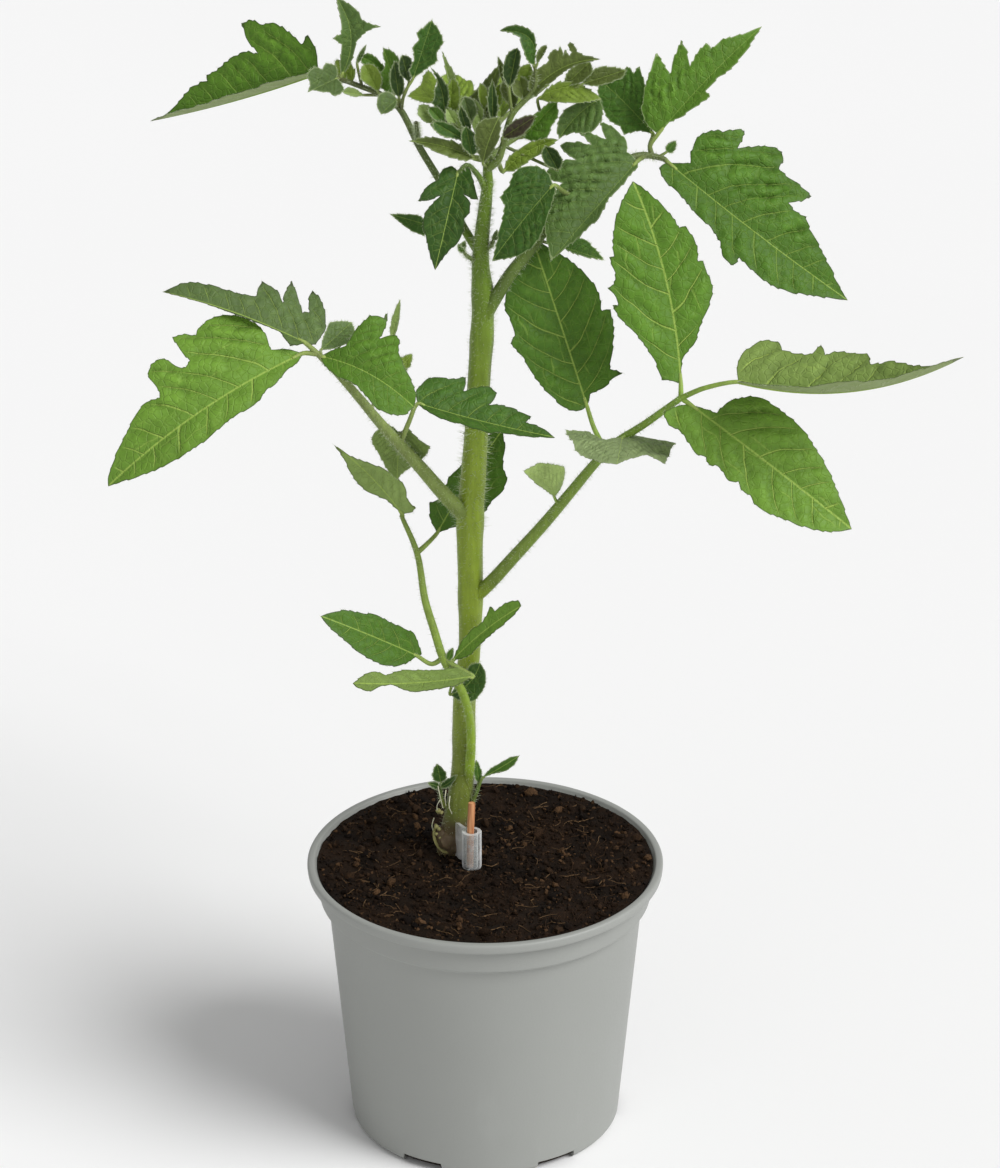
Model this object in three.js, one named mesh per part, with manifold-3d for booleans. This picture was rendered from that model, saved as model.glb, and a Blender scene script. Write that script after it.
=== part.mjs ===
// A young grafted tomato plant in a round plastic pot of potting soil.
// Millimetres, +Z up, with the origin at the centre of the pot's foot.
import * as THREE from "three";
import { mergeVertices } from "three/addons/utils/BufferGeometryUtils.js";
import Module from "manifold-3d";

const wasm = await Module();
wasm.setup();

// Driving dimensions of the pot and of what stands in it.
const POT_HEIGHT = 105;
const RIM_RADIUS = 65;
const MOUTH_RADIUS = 62.1;
const COLLAR_RADIUS = 61;
const COLLAR_HEIGHT = 13.5;
const LIP_HEIGHT = 3.6;
const BODY_RADIUS = 58;
const FOOT_RADIUS = 49.6;
const WALL = 1.4;
const FLOOR = 1.6;
const POT_SEGMENTS = 36;
const DRAINS = 6;
const DRAIN_TURN = THREE.MathUtils.degToRad(2);
const DRAIN_WIDTH = 17;
const DRAIN_HEIGHT = 3.8;
const DRAIN_INNER_RADIUS = 38;
const SOIL_LEVEL = 102.8;
const SOIL_DISH = 1.2;
const SOIL_RELIEF = 0.6;
const SOIL_RINGS = 3;
const SEAT_GAP = 0.3;
const BLADE_THICKNESS = 0.7;
const RIB_SPANS = 4;
const PLAIN_RIB_SPANS = 2;
const RIB_SLACK = 0.4;
const NARROWEST = 0.25;
const STEM_SIDES = 9;
const LIMB_SIDES = 6;
const STALK_SIDES = 4;
const LARGE_STALK = [2, 1.1];
const SMALL_STALK = [1.3, 1];
const SMALL_BLADE = 22;

// The reference view. Points of the plant are given as it shows them: pixels to the right
// and down in a picture of 1000 by 1168, then millimetres nearer to the viewer than the stem.
const PICTURE_CENTRE = [500, 584];
const FOCAL_PIXELS = 4983;
const VIEW_TARGET = new THREE.Vector3(5.4, 0, 215.7);
const VIEW_DISTANCE = 1770;
const VIEW_ELEVATION = THREE.MathUtils.degToRad(25.3);
const STEM_PLANE_Y = 11;

const forward = new THREE.Vector3(0, Math.cos(VIEW_ELEVATION), -Math.sin(VIEW_ELEVATION));
const upward = new THREE.Vector3(0, Math.sin(VIEW_ELEVATION), Math.cos(VIEW_ELEVATION));
const eye = VIEW_TARGET.clone().addScaledVector(forward, -VIEW_DISTANCE);

// The stem from the root ball to the shoot tip, with its diameter at each point.
const STEM_PATH = [[446, 925, 0], [449, 852, 0], [459.5, 800, 0], [463.5, 760, 0], [464.5, 700, 0],
  [469.5, 650, 0], [470.5, 590, 0], [470, 530, 0], [473, 480, 0], [476.5, 430, 0], [479, 380, 0],
  [482, 335, 0], [483, 300, 0], [480.5, 262, 0], [482, 235, 0], [486, 200, 0], [488, 178, 0]];
const STEM_THICK = [7.4, 9.2, 9.0, 8.3, 8.2, 7.8, 8.8, 9.4, 9.0, 8.3, 8.0, 7.9, 7.6, 6.0, 5.2, 4.4, 3.4];
const GRAFT_LUMPS = [[442, 842, 2, 3.2], [447, 828, 2, 3.4], [438, 829, 0, 2.2]];

const STICK_PATH = [[469, 925, 11.2], [470.4, 838, 11], [471.8, 803, 10.6]];
const STICK_THICK = 2.6;
const CLIP_PLACE = [471.8, 866.5, 11];
const CLIP_TURN = THREE.MathUtils.degToRad(113);
const CLIP_GAP = THREE.MathUtils.degToRad(26);
const CLIP_HEIGHT = 14.6;
const CLIP_OUTER = 3.6;
const CLIP_BORE = 2.3;
const CLIP_WING = {
  turn: THREE.MathUtils.degToRad(124), length: 6.6, thickness: 1.3, start: 2.6, trim: 0.6,
};

// The leaves. A stalk has a path, and its diameters at both ends or at every point. A blade joins
// a stalk at a place counted in the points of that stalk's path, goes by way of any points listed,
// and has a rib from base to tip, the direction that its upper side faces, and two edges, each
// traced from base to tip or given as a half width. A fold lifts both halves, and a curl bends
// them further.
const LEAVES = {
  leaf_lower_front: {
    color: "#5d8c3a",
    stalks: [
      { path: [[466, 790, 1], [470, 762, 4.5], [471, 738, 7], [469, 715, 9], [463, 694, 12], [455, 679, 14],
        [443, 658, 16], [434, 630, 13], [425, 600, 8], [417, 553, -1], [402, 517, -6]],
        thick: [4.2, 3.6, 3.3, 3.2, 3.2, 3.1, 3.0, 2.9, 2.7, 2.2, 1.6] },
    ],
    blades: [
      { joins: 6, via: [[432, 664, 16]], rib: [[418, 656, 18], [372, 636, 24], [321, 616, 28]],
        face: [-0.1, -0.7, 0.7], fold: 0.1,
        edges: [[[422, 654], [419, 645], [415, 634], [404, 628], [392, 623], [376, 615], [361, 613],
          [346, 610], [333, 612]],
        [[413, 659], [405, 664], [388, 666], [368, 658], [345, 641], [327, 625]]] },
      { joins: 6, rib: [[452, 661, 17], [488, 628, 18], [521, 606, 17]], face: [-0.35, -0.8, 0.5],
        fold: 0.1,
        edges: [[[460, 644], [471, 630], [482, 622], [491, 606], [495, 611], [506, 603], [518, 600]],
          [[470, 655], [484, 641], [512, 617]]] },
      { joins: 6, via: [[460, 669, 18]], rib: [[474, 676, 19], [415, 683, 32], [353, 683, 44]],
        face: [0, -0.45, 0.9], fold: 0.1,
        edges: [[[462, 667], [445, 669], [398, 671], [386, 675], [376, 672], [364, 675]],
          [[460, 684], [446, 688], [408, 691], [392, 684], [382, 686], [368, 691], [358, 688]]] },
      { joins: 9, via: [[427, 544, -4]], rib: [[437, 533, -8], [466, 484, -13], [502, 430, -18]],
        face: [-0.2, -0.88, 0.4], fold: 0.08,
        edges: [[[430, 518], [430, 503], [442, 496], [449, 477], [461, 466], [474, 446], [490, 434]],
          [[454, 527], [485, 512], [491, 503], [503, 490], [507, 479], [503, 466], [505, 446]]] },
      { joins: 10, rib: [[402, 514, -6], [374, 480, -9], [334, 445, -16]], face: [-0.3, -0.75, 0.6],
        fold: 0.12,
        edges: [[[393, 506], [386, 500], [368, 492], [355, 480], [343, 458]],
          [[412, 512], [416, 508], [408, 500], [406, 489], [398, 478], [384, 469], [370, 463],
          [353, 457]]] },
      { joins: 5, via: [[448, 692, 1]], rib: [[456, 698, -7], [478, 662, -9]], face: [0.1, -0.9, 0.4],
        edges: [[[458, 688], [465, 673], [472, 663]], [[468, 701], [476, 699], [482, 690], [486, 680],
          [483, 669]]] },
      { joins: 6, rib: [[448, 660, 17], [453, 648, 18]], face: [-0.3, -0.9, 0.3], edges: [1.3, 1.3] },
    ],
  },
  leaf_right: {
    color: "#4f8a2f",
    stalks: [
      { path: [[474, 596, 0], [487, 586, 3], [515, 556, 9], [545, 523, 15], [572, 491, 20], [592, 467, 24],
        [613, 445, 28], [645, 424, 33], [681, 398, 38]], thick: [5.2, 2.2] },
    ],
    blades: [
      { joins: 3.5, rib: [[555, 497, 19], [543, 480, 22], [524, 471, 25]], face: [0.1, -0.75, 0.65],
        edges: [[[562, 486], [565, 475], [562, 466], [551, 464], [540, 463], [531, 467]],
          [[548, 492], [538, 485], [529, 477]]] },
      { joins: 5.7, via: [[594, 428, 22]], rib: [[587, 406, 18], [561, 325, 3], [533, 240, -7]],
        face: [0.08, -0.92, 0.38], fold: 0.1, curl: -0.6,
        edges: [[[582, 410], [569, 410], [552, 397], [535, 378], [523, 358], [510, 344], [514, 336],
          [511, 322], [505, 308], [506, 295], [512, 280], [520, 262]],
        [[590, 394], [602, 389], [613, 379], [622, 373], [610, 369], [614, 330], [611, 309], [602, 311],
          [600, 297], [593, 283], [572, 262], [545, 245]]] },
      { joins: 8, rib: [[681, 384, 35], [665, 275, 18], [633, 181, 6]], face: [0.12, -0.93, 0.34],
        fold: 0.1, curl: -0.6,
        edges: [[[672, 381], [662, 380], [655, 362], [632, 330], [620, 319], [612, 305], [618, 306],
          [615, 296], [608, 288], [614, 284], [615, 275], [609, 257], [614, 256], [613, 238], [617, 214],
          [625, 195]],
        [[684, 356], [694, 345], [700, 328], [713, 290], [708, 274], [703, 261], [698, 262],
          [697, 246], [686, 226], [679, 228], [672, 216], [646, 190]]] },
      { joins: 8, via: [[705, 388, 42]], rib: [[738, 381, 46], [860, 389, 60], [963, 356, 70]],
        face: [0, -0.05, 1], fold: 0.6,
        edges: [[[737, 368], [743, 355], [763, 342], [780, 343], [782, 351], [800, 354], [812, 353],
          [821, 344], [825, 356], [837, 351], [867, 352], [870, 364], [888, 362], [925, 366], [948, 363]],
          14] },
      { joins: 8, rib: [[690, 404, 39], [768, 463, 51], [852, 529, 58]], face: [0.12, -0.78, 0.6],
        fold: 0.12, curl: -0.6,
        edges: [[[700, 407], [717, 413], [726, 403], [740, 398], [757, 397], [788, 416], [803, 431],
          [818, 452], [830, 472], [839, 495]],
        [[664, 412], [668, 426], [679, 431], [697, 454], [706, 457], [709, 465], [719, 467],
          [728, 480], [738, 482], [743, 491], [750, 495], [758, 507], [779, 518], [810, 529],
          [835, 532]]] },
      { joins: 6.5, rib: [[622, 437, 32], [620, 449, 41], [614, 468, 50]], face: [0, -0.5, 0.85],
        fold: -0.1,
        edges: [[[604, 440], [588, 431], [570, 420], [565, 433], [576, 446], [586, 456]],
          [[640, 434], [662, 421], [660, 432], [678, 440], [670, 452], [660, 464]]] },
    ],
  },
  leaf_left: {
    color: "#5a8b3c",
    stalks: [
      { path: [[472, 522, 0], [455, 506, 5], [440, 490, 9], [420, 467, 14], [400, 445, 19], [380, 423, 24],
        [360, 399, 29], [338, 374, 33], [318, 354, 36]], thick: [6.0, 2.2] },
    ],
    blades: [
      { joins: 8, rib: [[303, 353, 37], [214, 402, 53], [108, 486, 62]], face: [-0.12, -0.78, 0.6],
        fold: 0.1, curl: -0.5,
        edges: [[[286, 349], [271, 350], [266, 335], [257, 324], [242, 317], [225, 315], [210, 319],
          [198, 328], [196, 335], [184, 334], [172, 337], [180, 350], [190, 361], [186, 368],
          [177, 367], [165, 359], [152, 365], [148, 378], [158, 389], [160, 398], [145, 403],
          [124, 437], [108, 478]],
        [[297, 363], [285, 372], [276, 384], [267, 390], [258, 402], [231, 419], [203, 442], [165, 466],
          [140, 476]]] },
      { joins: 8, rib: [[305, 342, 36], [238, 313, 33], [163, 291, 29]], face: [-0.05, -0.4, 0.92],
        fold: 0.2,
        edges: [[[316, 344], [325, 330], [325, 314], [320, 298], [313, 289], [309, 298], [309, 312],
          [303, 312], [298, 296], [292, 280], [285, 292], [283, 302], [277, 290], [262, 281],
          [257, 296], [240, 294], [190, 282]],
        [[290, 346], [284, 337], [280, 329], [244, 317], [203, 302], [196, 294]]] },
      { joins: 8, rib: [[320, 356, 36], [370, 374, 44], [414, 407, 48]], face: [0.15, -0.82, 0.55],
        fold: 0.1, curl: -0.5,
        edges: [[[335, 349], [346, 346], [355, 331], [370, 316], [384, 318], [388, 312], [386, 325],
          [380, 338], [395, 335], [400, 340], [399, 352], [416, 394]],
        [[325, 366], [340, 378], [354, 384], [378, 409], [390, 414], [404, 415]]] },
      { joins: 7.8, rib: [[321, 350, 31], [352, 322, 21]], face: [0, -0.85, 0.5],
        edges: [[[323, 338], [330, 322], [342, 321]], [[336, 348], [349, 342], [355, 333]]] },
      { joins: 6.5, via: [[376, 358, 22]], rib: [[392, 338, 19], [400, 300, 16]], face: [-0.3, -0.9, 0.3],
        edges: [1.5, 1.3] },
      { joins: 5.5, via: [[384, 384, 20]], rib: [[399, 370, 18], [412, 354, 16]], face: [0, -0.9, 0.4],
        edges: [2.2, 2.2] },
      { joins: 4, via: [[409, 422, 20]], rib: [[418, 403, 21], [486, 422, 23], [555, 437, 25]],
        face: [0, -0.35, 0.93], fold: 0.35,
        edges: [[[416, 390], [424, 381], [433, 376], [450, 379], [466, 377], [463, 391], [476, 388],
          [488, 388], [497, 394], [489, 405], [506, 406], [520, 411], [531, 416], [526, 422]], 7] },
      { joins: 4, rib: [[399, 434, 14], [397, 480, 5]], face: [0, -0.92, 0.4],
        edges: [[[388, 424], [375, 432], [372, 443], [380, 455], [386, 468]],
          [[408, 428], [420, 440], [430, 446], [424, 458], [404, 472]]] },
    ],
  },
  leaf_upper_right: {
    color: "#4c7a35",
    stalks: [
      { path: [[481, 322, 0], [492, 304, 2], [510, 275, 2], [530, 250, 0], [545, 230, -3], [575, 198, -9],
        [605, 172, -15], [638, 156, -21], [652, 156, -24], [664, 159, -26]], thick: [5.2, 1.9] },
    ],
    blades: [
      { joins: 8, via: [[650, 146, -25]], rib: [[658, 134, -26], [704, 82, -31], [762, 26, -42]],
        face: [-0.1, -0.85, 0.5], fold: 0.15, curl: -0.5,
        edges: [[[648, 126], [642, 112], [646, 84], [652, 66], [657, 52], [664, 64], [670, 74],
          [673, 60], [681, 40], [690, 66], [697, 53], [706, 43], [711, 49], [722, 40], [742, 34]],
        [[668, 122], [679, 118], [710, 97], [706, 91], [717, 79], [730, 70], [740, 59], [747, 50]]] },
      { joins: 8, via: [[650, 146, -26]], rib: [[653, 134, -29], [630, 108, -37], [599, 79, -45]],
        face: [-0.1, -0.85, 0.5], fold: 0.1,
        edges: [[[649, 110], [646, 88], [640, 67], [634, 74], [627, 66], [620, 76], [611, 80]],
          [[640, 131], [624, 135], [621, 128], [609, 120], [598, 94]]] },
      { joins: 9, rib: [[668, 162, -25], [745, 224, -14], [848, 300, -8]], face: [0.12, -0.78, 0.6],
        fold: 0.12, curl: -0.6,
        edges: [[[678, 163], [690, 163], [692, 148], [700, 135], [717, 130], [722, 133], [735, 130],
          [744, 131], [738, 148], [755, 146], [771, 146], [783, 151], [783, 161], [779, 168],
          [788, 177], [800, 185], [812, 196], [788, 203], [797, 212], [806, 217], [808, 224],
          [824, 255], [840, 287]],
        [[659, 168], [663, 178], [681, 196], [692, 210], [713, 231], [720, 243],
          [722, 256], [733, 266], [739, 258], [767, 283], [787, 291], [828, 298]]] },
      { joins: 7.5, rib: [[637, 161, -17], [600, 203, -3], [551, 260, 10]], face: [-0.15, -0.8, 0.58],
        fold: 0.1, curl: -0.5,
        edges: [[[628, 157], [625, 141], [613, 128], [602, 122], [598, 129], [603, 138], [590, 135],
          [573, 129], [582, 140], [570, 142], [560, 150], [566, 160], [552, 168], [545, 177],
          [557, 180], [564, 184], [556, 192], [548, 206], [545, 225], [548, 246]],
        [[638, 167], [629, 178], [610, 206], [588, 228], [563, 250]]] },
      { joins: 5, via: [[564, 192, -3]], rib: [[553, 185, 3], [528, 214, 9], [492, 261, 14]],
        face: [-0.25, -0.82, 0.5], fold: 0.12,
        edges: [[[548, 173], [536, 166], [524, 167], [514, 173], [508, 186], [499, 197], [504, 205],
          [499, 232]],
        [[556, 189], [553, 201], [545, 226], [538, 240], [526, 252], [510, 258]]] },
      { joins: 3.5, rib: [[560, 246, -6], [604, 260, -14]], face: [0, -0.85, 0.5],
        edges: [[[572, 240], [582, 238], [591, 245], [599, 253]], [[573, 253], [590, 258]]] },
      { joins: 8.5, rib: [[667, 152, -26], [676, 141, -27]], face: [0.2, -0.9, 0.3], edges: [1.7, 1.7] },
    ],
  },
  leaf_upper_left: {
    color: "#527f38",
    stalks: [
      { path: [[479, 252, 0], [466, 232, -5], [452, 205, -10], [438, 178, -15], [420, 148, -20],
        [399, 108, -27],
        [382, 95, -31], [362, 87, -35], [340, 79, -38], [322, 73, -40]], thick: [3.2, 1.5] },
      { path: [[418, 142, -20], [417, 130, -19], [416, 122, -19]], thick: [1.4, 1.4] },
    ],
    blades: [
      { joins: 9, rib: [[318, 72, -41], [236, 99, -50], [150, 120, -58]], face: [0, -0.3, 0.95], fold: 0.9,
        edges: [[[317, 56], [315, 47], [308, 36], [301, 43], [288, 30], [274, 22], [262, 24], [250, 20],
          [242, 24], [246, 38], [258, 54], [245, 52], [232, 57], [220, 68], [207, 76], [208, 82], [193, 86],
          [180, 100], [164, 115]], 8] },
      { joins: 8, rib: [[341, 76, -38], [351, 38, -39], [336, -3, -42]], face: [0.15, -0.93, 0.3],
        edges: [[[340, 62], [342, 44], [333, 38], [341, 34], [341, 22], [338, 8]],
          [[348, 68], [353, 58], [357, 42], [368, 31], [381, 27], [363, 20], [357, 10], [346, 2]]] },
      { joins: 8, rib: [[337, 78, -36], [308, 90, -27]], face: [-0.15, -0.9, 0.4],
        edges: [[[330, 64], [318, 66], [308, 75]], [[338, 92], [330, 96], [318, 91]]] },
      { joins: 5, rib: [[397, 99, -25], [381, 114, -20]], face: [-0.2, -0.9, 0.4],
        edges: [[[388, 91], [378, 96], [377, 106]], [[396, 106], [389, 112]]] },
      { joins: 5, rib: [[398, 97, -27], [394, 62, -30]], face: [-0.2, -0.95, 0.2], edges: [2.2, 2.2] },
      { joins: 4.9, via: [[405, 92, -24]], rib: [[413, 79, -25], [432, 20, -32]], face: [0.1, -0.93, 0.35],
        edges: [[[411, 62], [413, 46], [418, 30], [424, 23]],
          [[425, 68], [437, 60], [442, 47], [442, 34], [437, 25]]] },
      { joins: 6, rib: [[380, 90, -35], [364, 62, -42]], face: [0, -0.95, 0.3], edges: [4.2, 4.2] },
      { joins: 5.5, rib: [[394, 80, -34], [383, 48, -38]], face: [0, -0.95, 0.3], edges: [3.2, 3.2] },
      { joins: 7, rib: [[352, 82, -40], [336, 60, -46]], face: [0, -0.95, 0.3], edges: [3.6, 3.6] },
    ],
  },
  leaf_young_front: {
    color: "#3d6a26",
    stalks: [
      { path: [[487, 192, 0], [477, 174, 4], [466, 165, 7], [458, 174, 8]], thick: [2.2, 1.4] },
    ],
    blades: [
      { joins: 3, rib: [[457, 180, 9], [447, 222, 18], [435, 268, 23]], face: [-0.15, -0.93, 0.35],
        fold: 0.12,
        edges: [[[450, 196], [437, 202], [427, 209], [424, 220], [424, 236], [432, 262]],
          [[465, 194], [469, 206], [466, 222], [450, 252]]] },
      { joins: 3, rib: [[455, 180, 8], [418, 201, 7]], face: [-0.2, -0.9, 0.4],
        edges: [[[448, 176], [434, 181], [423, 191]], [[447, 195], [432, 200]]] },
      { joins: 3, rib: [[461, 179, 8], [477, 201, 7]], face: [0.2, -0.9, 0.4],
        edges: [[[469, 177], [476, 187]], [[463, 192], [470, 200]]] },
      { joins: 2.5, rib: [[457, 175, 9], [440, 172, 10]], face: [-0.1, -0.9, 0.4], edges: [2.3, 2.3] },
      { joins: 2.5, rib: [[461, 174, 8], [471, 168, 8]], face: [0.1, -0.9, 0.4], edges: [2.0, 2.0] },
      { joins: 3, via: [[445, 200, 3]], rib: [[431, 226, 2], [390, 214, -1]], face: [-0.1, -0.85, 0.5],
        edges: [[[420, 216], [404, 214]], [[424, 236], [410, 230]]] },
    ],
  },
  shoot_tip: {
    color: "#567b35",
    stalks: [
      { path: [[488, 186, 0], [487, 150, 0], [487, 120, 0], [492, 100, 0]], thick: [3.4, 1.4] },
      { path: [[488, 168, 0], [498, 160, 2], [503, 146, 3], [512, 115, 2], [531, 94, 1], [536, 84, 1]],
        thick: [2.6, 1.2] },
      { path: [[487, 158, 0], [472, 142, 3], [458, 128, 4], [446, 120, 0], [440, 106, -3]], thick: [2.2,
        1.2] },
      { path: [[487, 160, 0], [504, 146, -8], [530, 128, -12], [548, 108, -13], [560, 96, -14]],
        thick: [2.2, 1.2] },
    ],
    blades: [
      { joins: [0, 0.5], rib: [[485, 160, 5], [499, 118, 7]], face: [0.1, -0.9, 0.3], edges: [4, 3.2] },
      { joins: [1, 2], rib: [[506, 138, 5], [536, 116, 7]], face: [0, -0.9, 0.4], edges: [2.3, 2.3] },
      { joins: [1, 5], rib: [[535, 68, 0], [530, 36, 1], [501, 31, 3]], face: [0, -0.9, 0.4],
        edges: [2, 2] },
      { joins: [1, 5], rib: [[537, 64, 0], [546, 45, 0]], face: [-0.1, -0.9, 0.4], edges: [1.2, 1.2] },
      { joins: [1, 3], rib: [[509, 88, 2], [517, 48, 2]], face: [-0.1, -0.95, 0.2], edges: [2.6, 2.4] },
      { joins: [1, 3], rib: [[505, 84, 1], [498, 57, 0]], face: [0, -0.95, 0.3], edges: [1.2, 1.2] },
      { joins: [1, 4], rib: [[535, 88, 1], [560, 68, 0], [600, 59, 2]], face: [0, -0.8, 0.6],
        edges: [[[533, 76], [548, 60], [553, 50], [560, 57], [566, 45], [573, 54], [592, 57]],
          [[541, 84], [556, 76], [586, 63]]] },
      { joins: [3, 2.6], rib: [[540, 101, -13], [566, 96, -15], [599, 99, -17]], face: [0, -0.75, 0.6],
        edges: [[[545, 90], [568, 82], [591, 92]], [[550, 103], [586, 101]]] },
      { joins: [3, 4], rib: [[566, 90, -16], [622, 72, -21]], face: [0, -0.8, 0.6],
        edges: [[[580, 72], [598, 67], [612, 68]], [[585, 86], [617, 78]]] },
      { joins: [3, 1.5], rib: [[522, 136, -11], [557, 102, -11]], face: [0.2, -0.9, 0.3],
        edges: [[[528, 126], [541, 113], [550, 105]], [[538, 142], [556, 118]]] },
      { joins: [3, 0.5], rib: [[502, 168, -6], [530, 148, -8], [558, 140, -8]], face: [0.2, -0.9, 0.35],
        edges: [[[512, 154], [524, 146], [541, 141]], [[516, 168], [532, 158], [546, 150]]] },
      { joins: [3, 2], rib: [[562, 136, -14], [598, 106, -16]], face: [0.1, -0.9, 0.4],
        edges: [[[562, 122], [574, 107], [588, 101]], [[578, 138], [600, 114]]] },
      { joins: [3, 1], rib: [[560, 164, -7], [545, 148, -6]], face: [0, -0.95, 0.3], edges: [2.4, 2.4] },
      { joins: [0, 0.7], rib: [[474, 157, 6], [445, 147, 8], [409, 141, 9]], face: [0, -0.8, 0.6],
        edges: [[[458, 141], [440, 137], [424, 137]], [[460, 158], [424, 146]]] },
      { joins: [2, 3], rib: [[443, 116, 0], [434, 70, -3]], face: [-0.1, -0.95, 0.2],
        edges: [[[436, 106], [435, 88]], [[449, 102], [440, 72]]] },
      { joins: [2, 3], rib: [[453, 114, -3], [450, 78, -6]], face: [0.1, -0.95, 0.2], edges: [3.3, 3.3] },
      { joins: [2, 4], rib: [[450, 90, -6], [441, 52, -7]], face: [0.2, -0.95, 0.2], edges: [1.4, 1.4] },
      { joins: [2, 4], rib: [[438, 102, -4], [426, 74, -8]], face: [0, -0.95, 0.3], edges: [3.6, 3.6] },
      { joins: [2, 3], rib: [[438, 124, 0], [420, 104, -3]], face: [0, -0.9, 0.4], edges: [2.8, 2.8] },
      { joins: [0, 0.8], rib: [[474, 154, 6], [448, 128, 9]], face: [0.1, -0.9, 0.4], edges: [2.6, 2.6] },
      { joins: [2, 1.3], rib: [[468, 140, 6], [462, 108, 6]], face: [0, -0.95, 0.3], edges: [2.0, 2.0] },
      { joins: [2, 2], rib: [[454, 132, 6], [432, 121, 7]], face: [0, -0.9, 0.4], edges: [2.2, 2.2] },
      { joins: [0, 2], rib: [[486, 116, -1], [478, 88, -3]], face: [-0.1, -0.95, 0.2], edges: [3.4, 3.4] },
      { joins: [0, 2], rib: [[493, 114, 1], [492, 86, 1]], face: [0.1, -0.98, 0.2], edges: [1.6, 1.6] },
      { joins: [0, 2], rib: [[476, 108, -5], [499, 66, -7]], face: [0.2, -0.95, 0.2], edges: [2.0, 2.2] },
      { joins: [1, 3.6], rib: [[521, 94, -2], [528, 66, -5]], face: [0, -0.95, 0.3], edges: [3.2, 3.2] },
      { joins: [0, 1], via: [[474, 120, -14]], rib: [[464, 110, -25], [446, 74, -44]], face: [-0.1, 0.3,
        0.95],
        edges: [6, 6] },
      { joins: [0, 1], via: [[500, 122, -14]], rib: [[518, 106, -29], [546, 82, -50]], face: [0.1, 0.3,
        0.95],
        edges: [6.5, 6.5] },
      { joins: [0, 1.2], rib: [[474, 122, -13], [440, 112, -28]], face: [-0.2, 0.2, 0.95], edges: [5, 5] },
      { joins: [0, 1.5], rib: [[500, 118, -12], [506, 72, -34]], face: [0, 0.5, 0.85], edges: [5, 5] },
    ],
  },
  sprout_left: {
    color: "#3f6b2a",
    stalks: [
      { path: [[454, 812, 0], [443, 803, 0.5], [440, 788, 1]], thick: [2.0, 1.3] },
    ],
    blades: [
      { joins: 2, rib: [[441, 782, 1], [437, 764, 1]], face: [-0.1, -0.9, 0.4], edges: [2.6, 2.6] },
      { joins: 2, rib: [[441, 787, 2], [450, 782, 4.5], [457, 775, 6.5]], face: [0, -0.8, 0.6],
        edges: [1.5, 1.3] },
      { joins: 2, rib: [[439, 787, 1], [428, 783, 2]], face: [0, -0.8, 0.6], edges: [1.3, 1.3] },
    ],
  },
  sprout_right: {
    color: "#46762e",
    stalks: [
      { path: [[466, 812, 0], [472, 803, 2.5], [478, 789, 3]], thick: [2.0, 1.3] },
    ],
    blades: [
      { joins: 2, rib: [[482, 778, 3], [500, 768, 4], [519, 756, 4]], face: [-0.2, -0.85, 0.5],
        edges: [[[490, 769], [500, 763], [511, 757]], [[493, 774], [505, 771], [514, 765]]] },
      { joins: 1.6, rib: [[479, 782, 2], [476, 760, 2]], face: [0.2, -0.95, 0.2], edges: [1.5, 1.5] },
    ],
  },
};

// Small working helpers.
function sightLine(px, py) {
  const direction = forward.clone();
  direction.x += (px - PICTURE_CENTRE[0]) / FOCAL_PIXELS;
  direction.addScaledVector(upward, (PICTURE_CENTRE[1] - py) / FOCAL_PIXELS);
  return new THREE.Ray(eye, direction.normalize());
}

function seen([px, py, nearer]) {
  const plane = new THREE.Plane(new THREE.Vector3(0, 1, 0), nearer - STEM_PLANE_Y);
  return sightLine(px, py).intersectPlane(plane, new THREE.Vector3());
}

function solid(geometry) {
  const bare = geometry.clone();
  bare.deleteAttribute("normal");
  bare.deleteAttribute("uv");
  const merged = mergeVertices(bare, 1e-5);
  return new wasm.Manifold(new wasm.Mesh({
    numProp: 3,
    vertProperties: new Float32Array(merged.attributes.position.array),
    triVerts: new Uint32Array(merged.index.array),
  }));
}

function fuse(solids) {
  return solids.reduce((whole, piece) => whole.add(piece));
}

function mesh(name, body, color, roughness = 0.75) {
  const made = body.getMesh();
  const geometry = new THREE.BufferGeometry();
  geometry.setAttribute("position", new THREE.BufferAttribute(new Float32Array(made.vertProperties), 3));
  geometry.setIndex(new THREE.BufferAttribute(new Uint32Array(made.triVerts), 1));
  geometry.computeVertexNormals();
  const result = new THREE.Mesh(geometry, new THREE.MeshStandardMaterial({ color, roughness,
    metalness: 0 }));
  result.name = name;
  return result;
}

function smooth(points) {
  return new THREE.CatmullRomCurve3(points, false, "centripetal");
}

// A round limb along smooth points, with its diameter at each of them.
function limb(points, diameters, sides = LIMB_SIDES, stepsEach = 1, grow = 0) {
  const curve = smooth(points);
  const spans = points.length - 1;
  const steps = spans * stepsEach;
  const geometry = new THREE.CylinderGeometry(1, 1, 1, sides, steps);
  geometry.deleteAttribute("normal");
  geometry.deleteAttribute("uv");
  const chord = points[spans].clone().sub(points[0]).normalize();
  const reference = Math.abs(chord.y) > 0.8 ? new THREE.Vector3(1, 0, 0) : new THREE.Vector3(0, 1, 0);
  const position = geometry.attributes.position;
  for (let i = 0; i < position.count; i++) {
    const along = THREE.MathUtils.clamp(position.getY(i) + 0.5, 0, 1);
    const tangent = curve.getTangent(along);
    const side = reference.clone().addScaledVector(tangent, -reference.dot(tangent)).normalize();
    const other = side.clone().cross(tangent);
    const span = Math.min(Math.floor(along * spans), spans - 1);
    const diameter = THREE.MathUtils.lerp(diameters[span], diameters[span + 1], along * spans - span);
    const place = curve.getPoint(along)
      .addScaledVector(side, position.getX(i) * (diameter / 2 + grow))
      .addScaledVector(other, position.getZ(i) * (diameter / 2 + grow));
    position.setXYZ(i, place.x, place.y, place.z);
  }
  return solid(geometry);
}

function taper([first, last], count) {
  return Array.from({ length: count }, (_, i) => THREE.MathUtils.lerp(first, last, i / (count - 1)));
}

function stalk({ path, thick }) {
  return limb(path.map(seen), thick.length === path.length ? thick : taper(thick, path.length));
}

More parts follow.
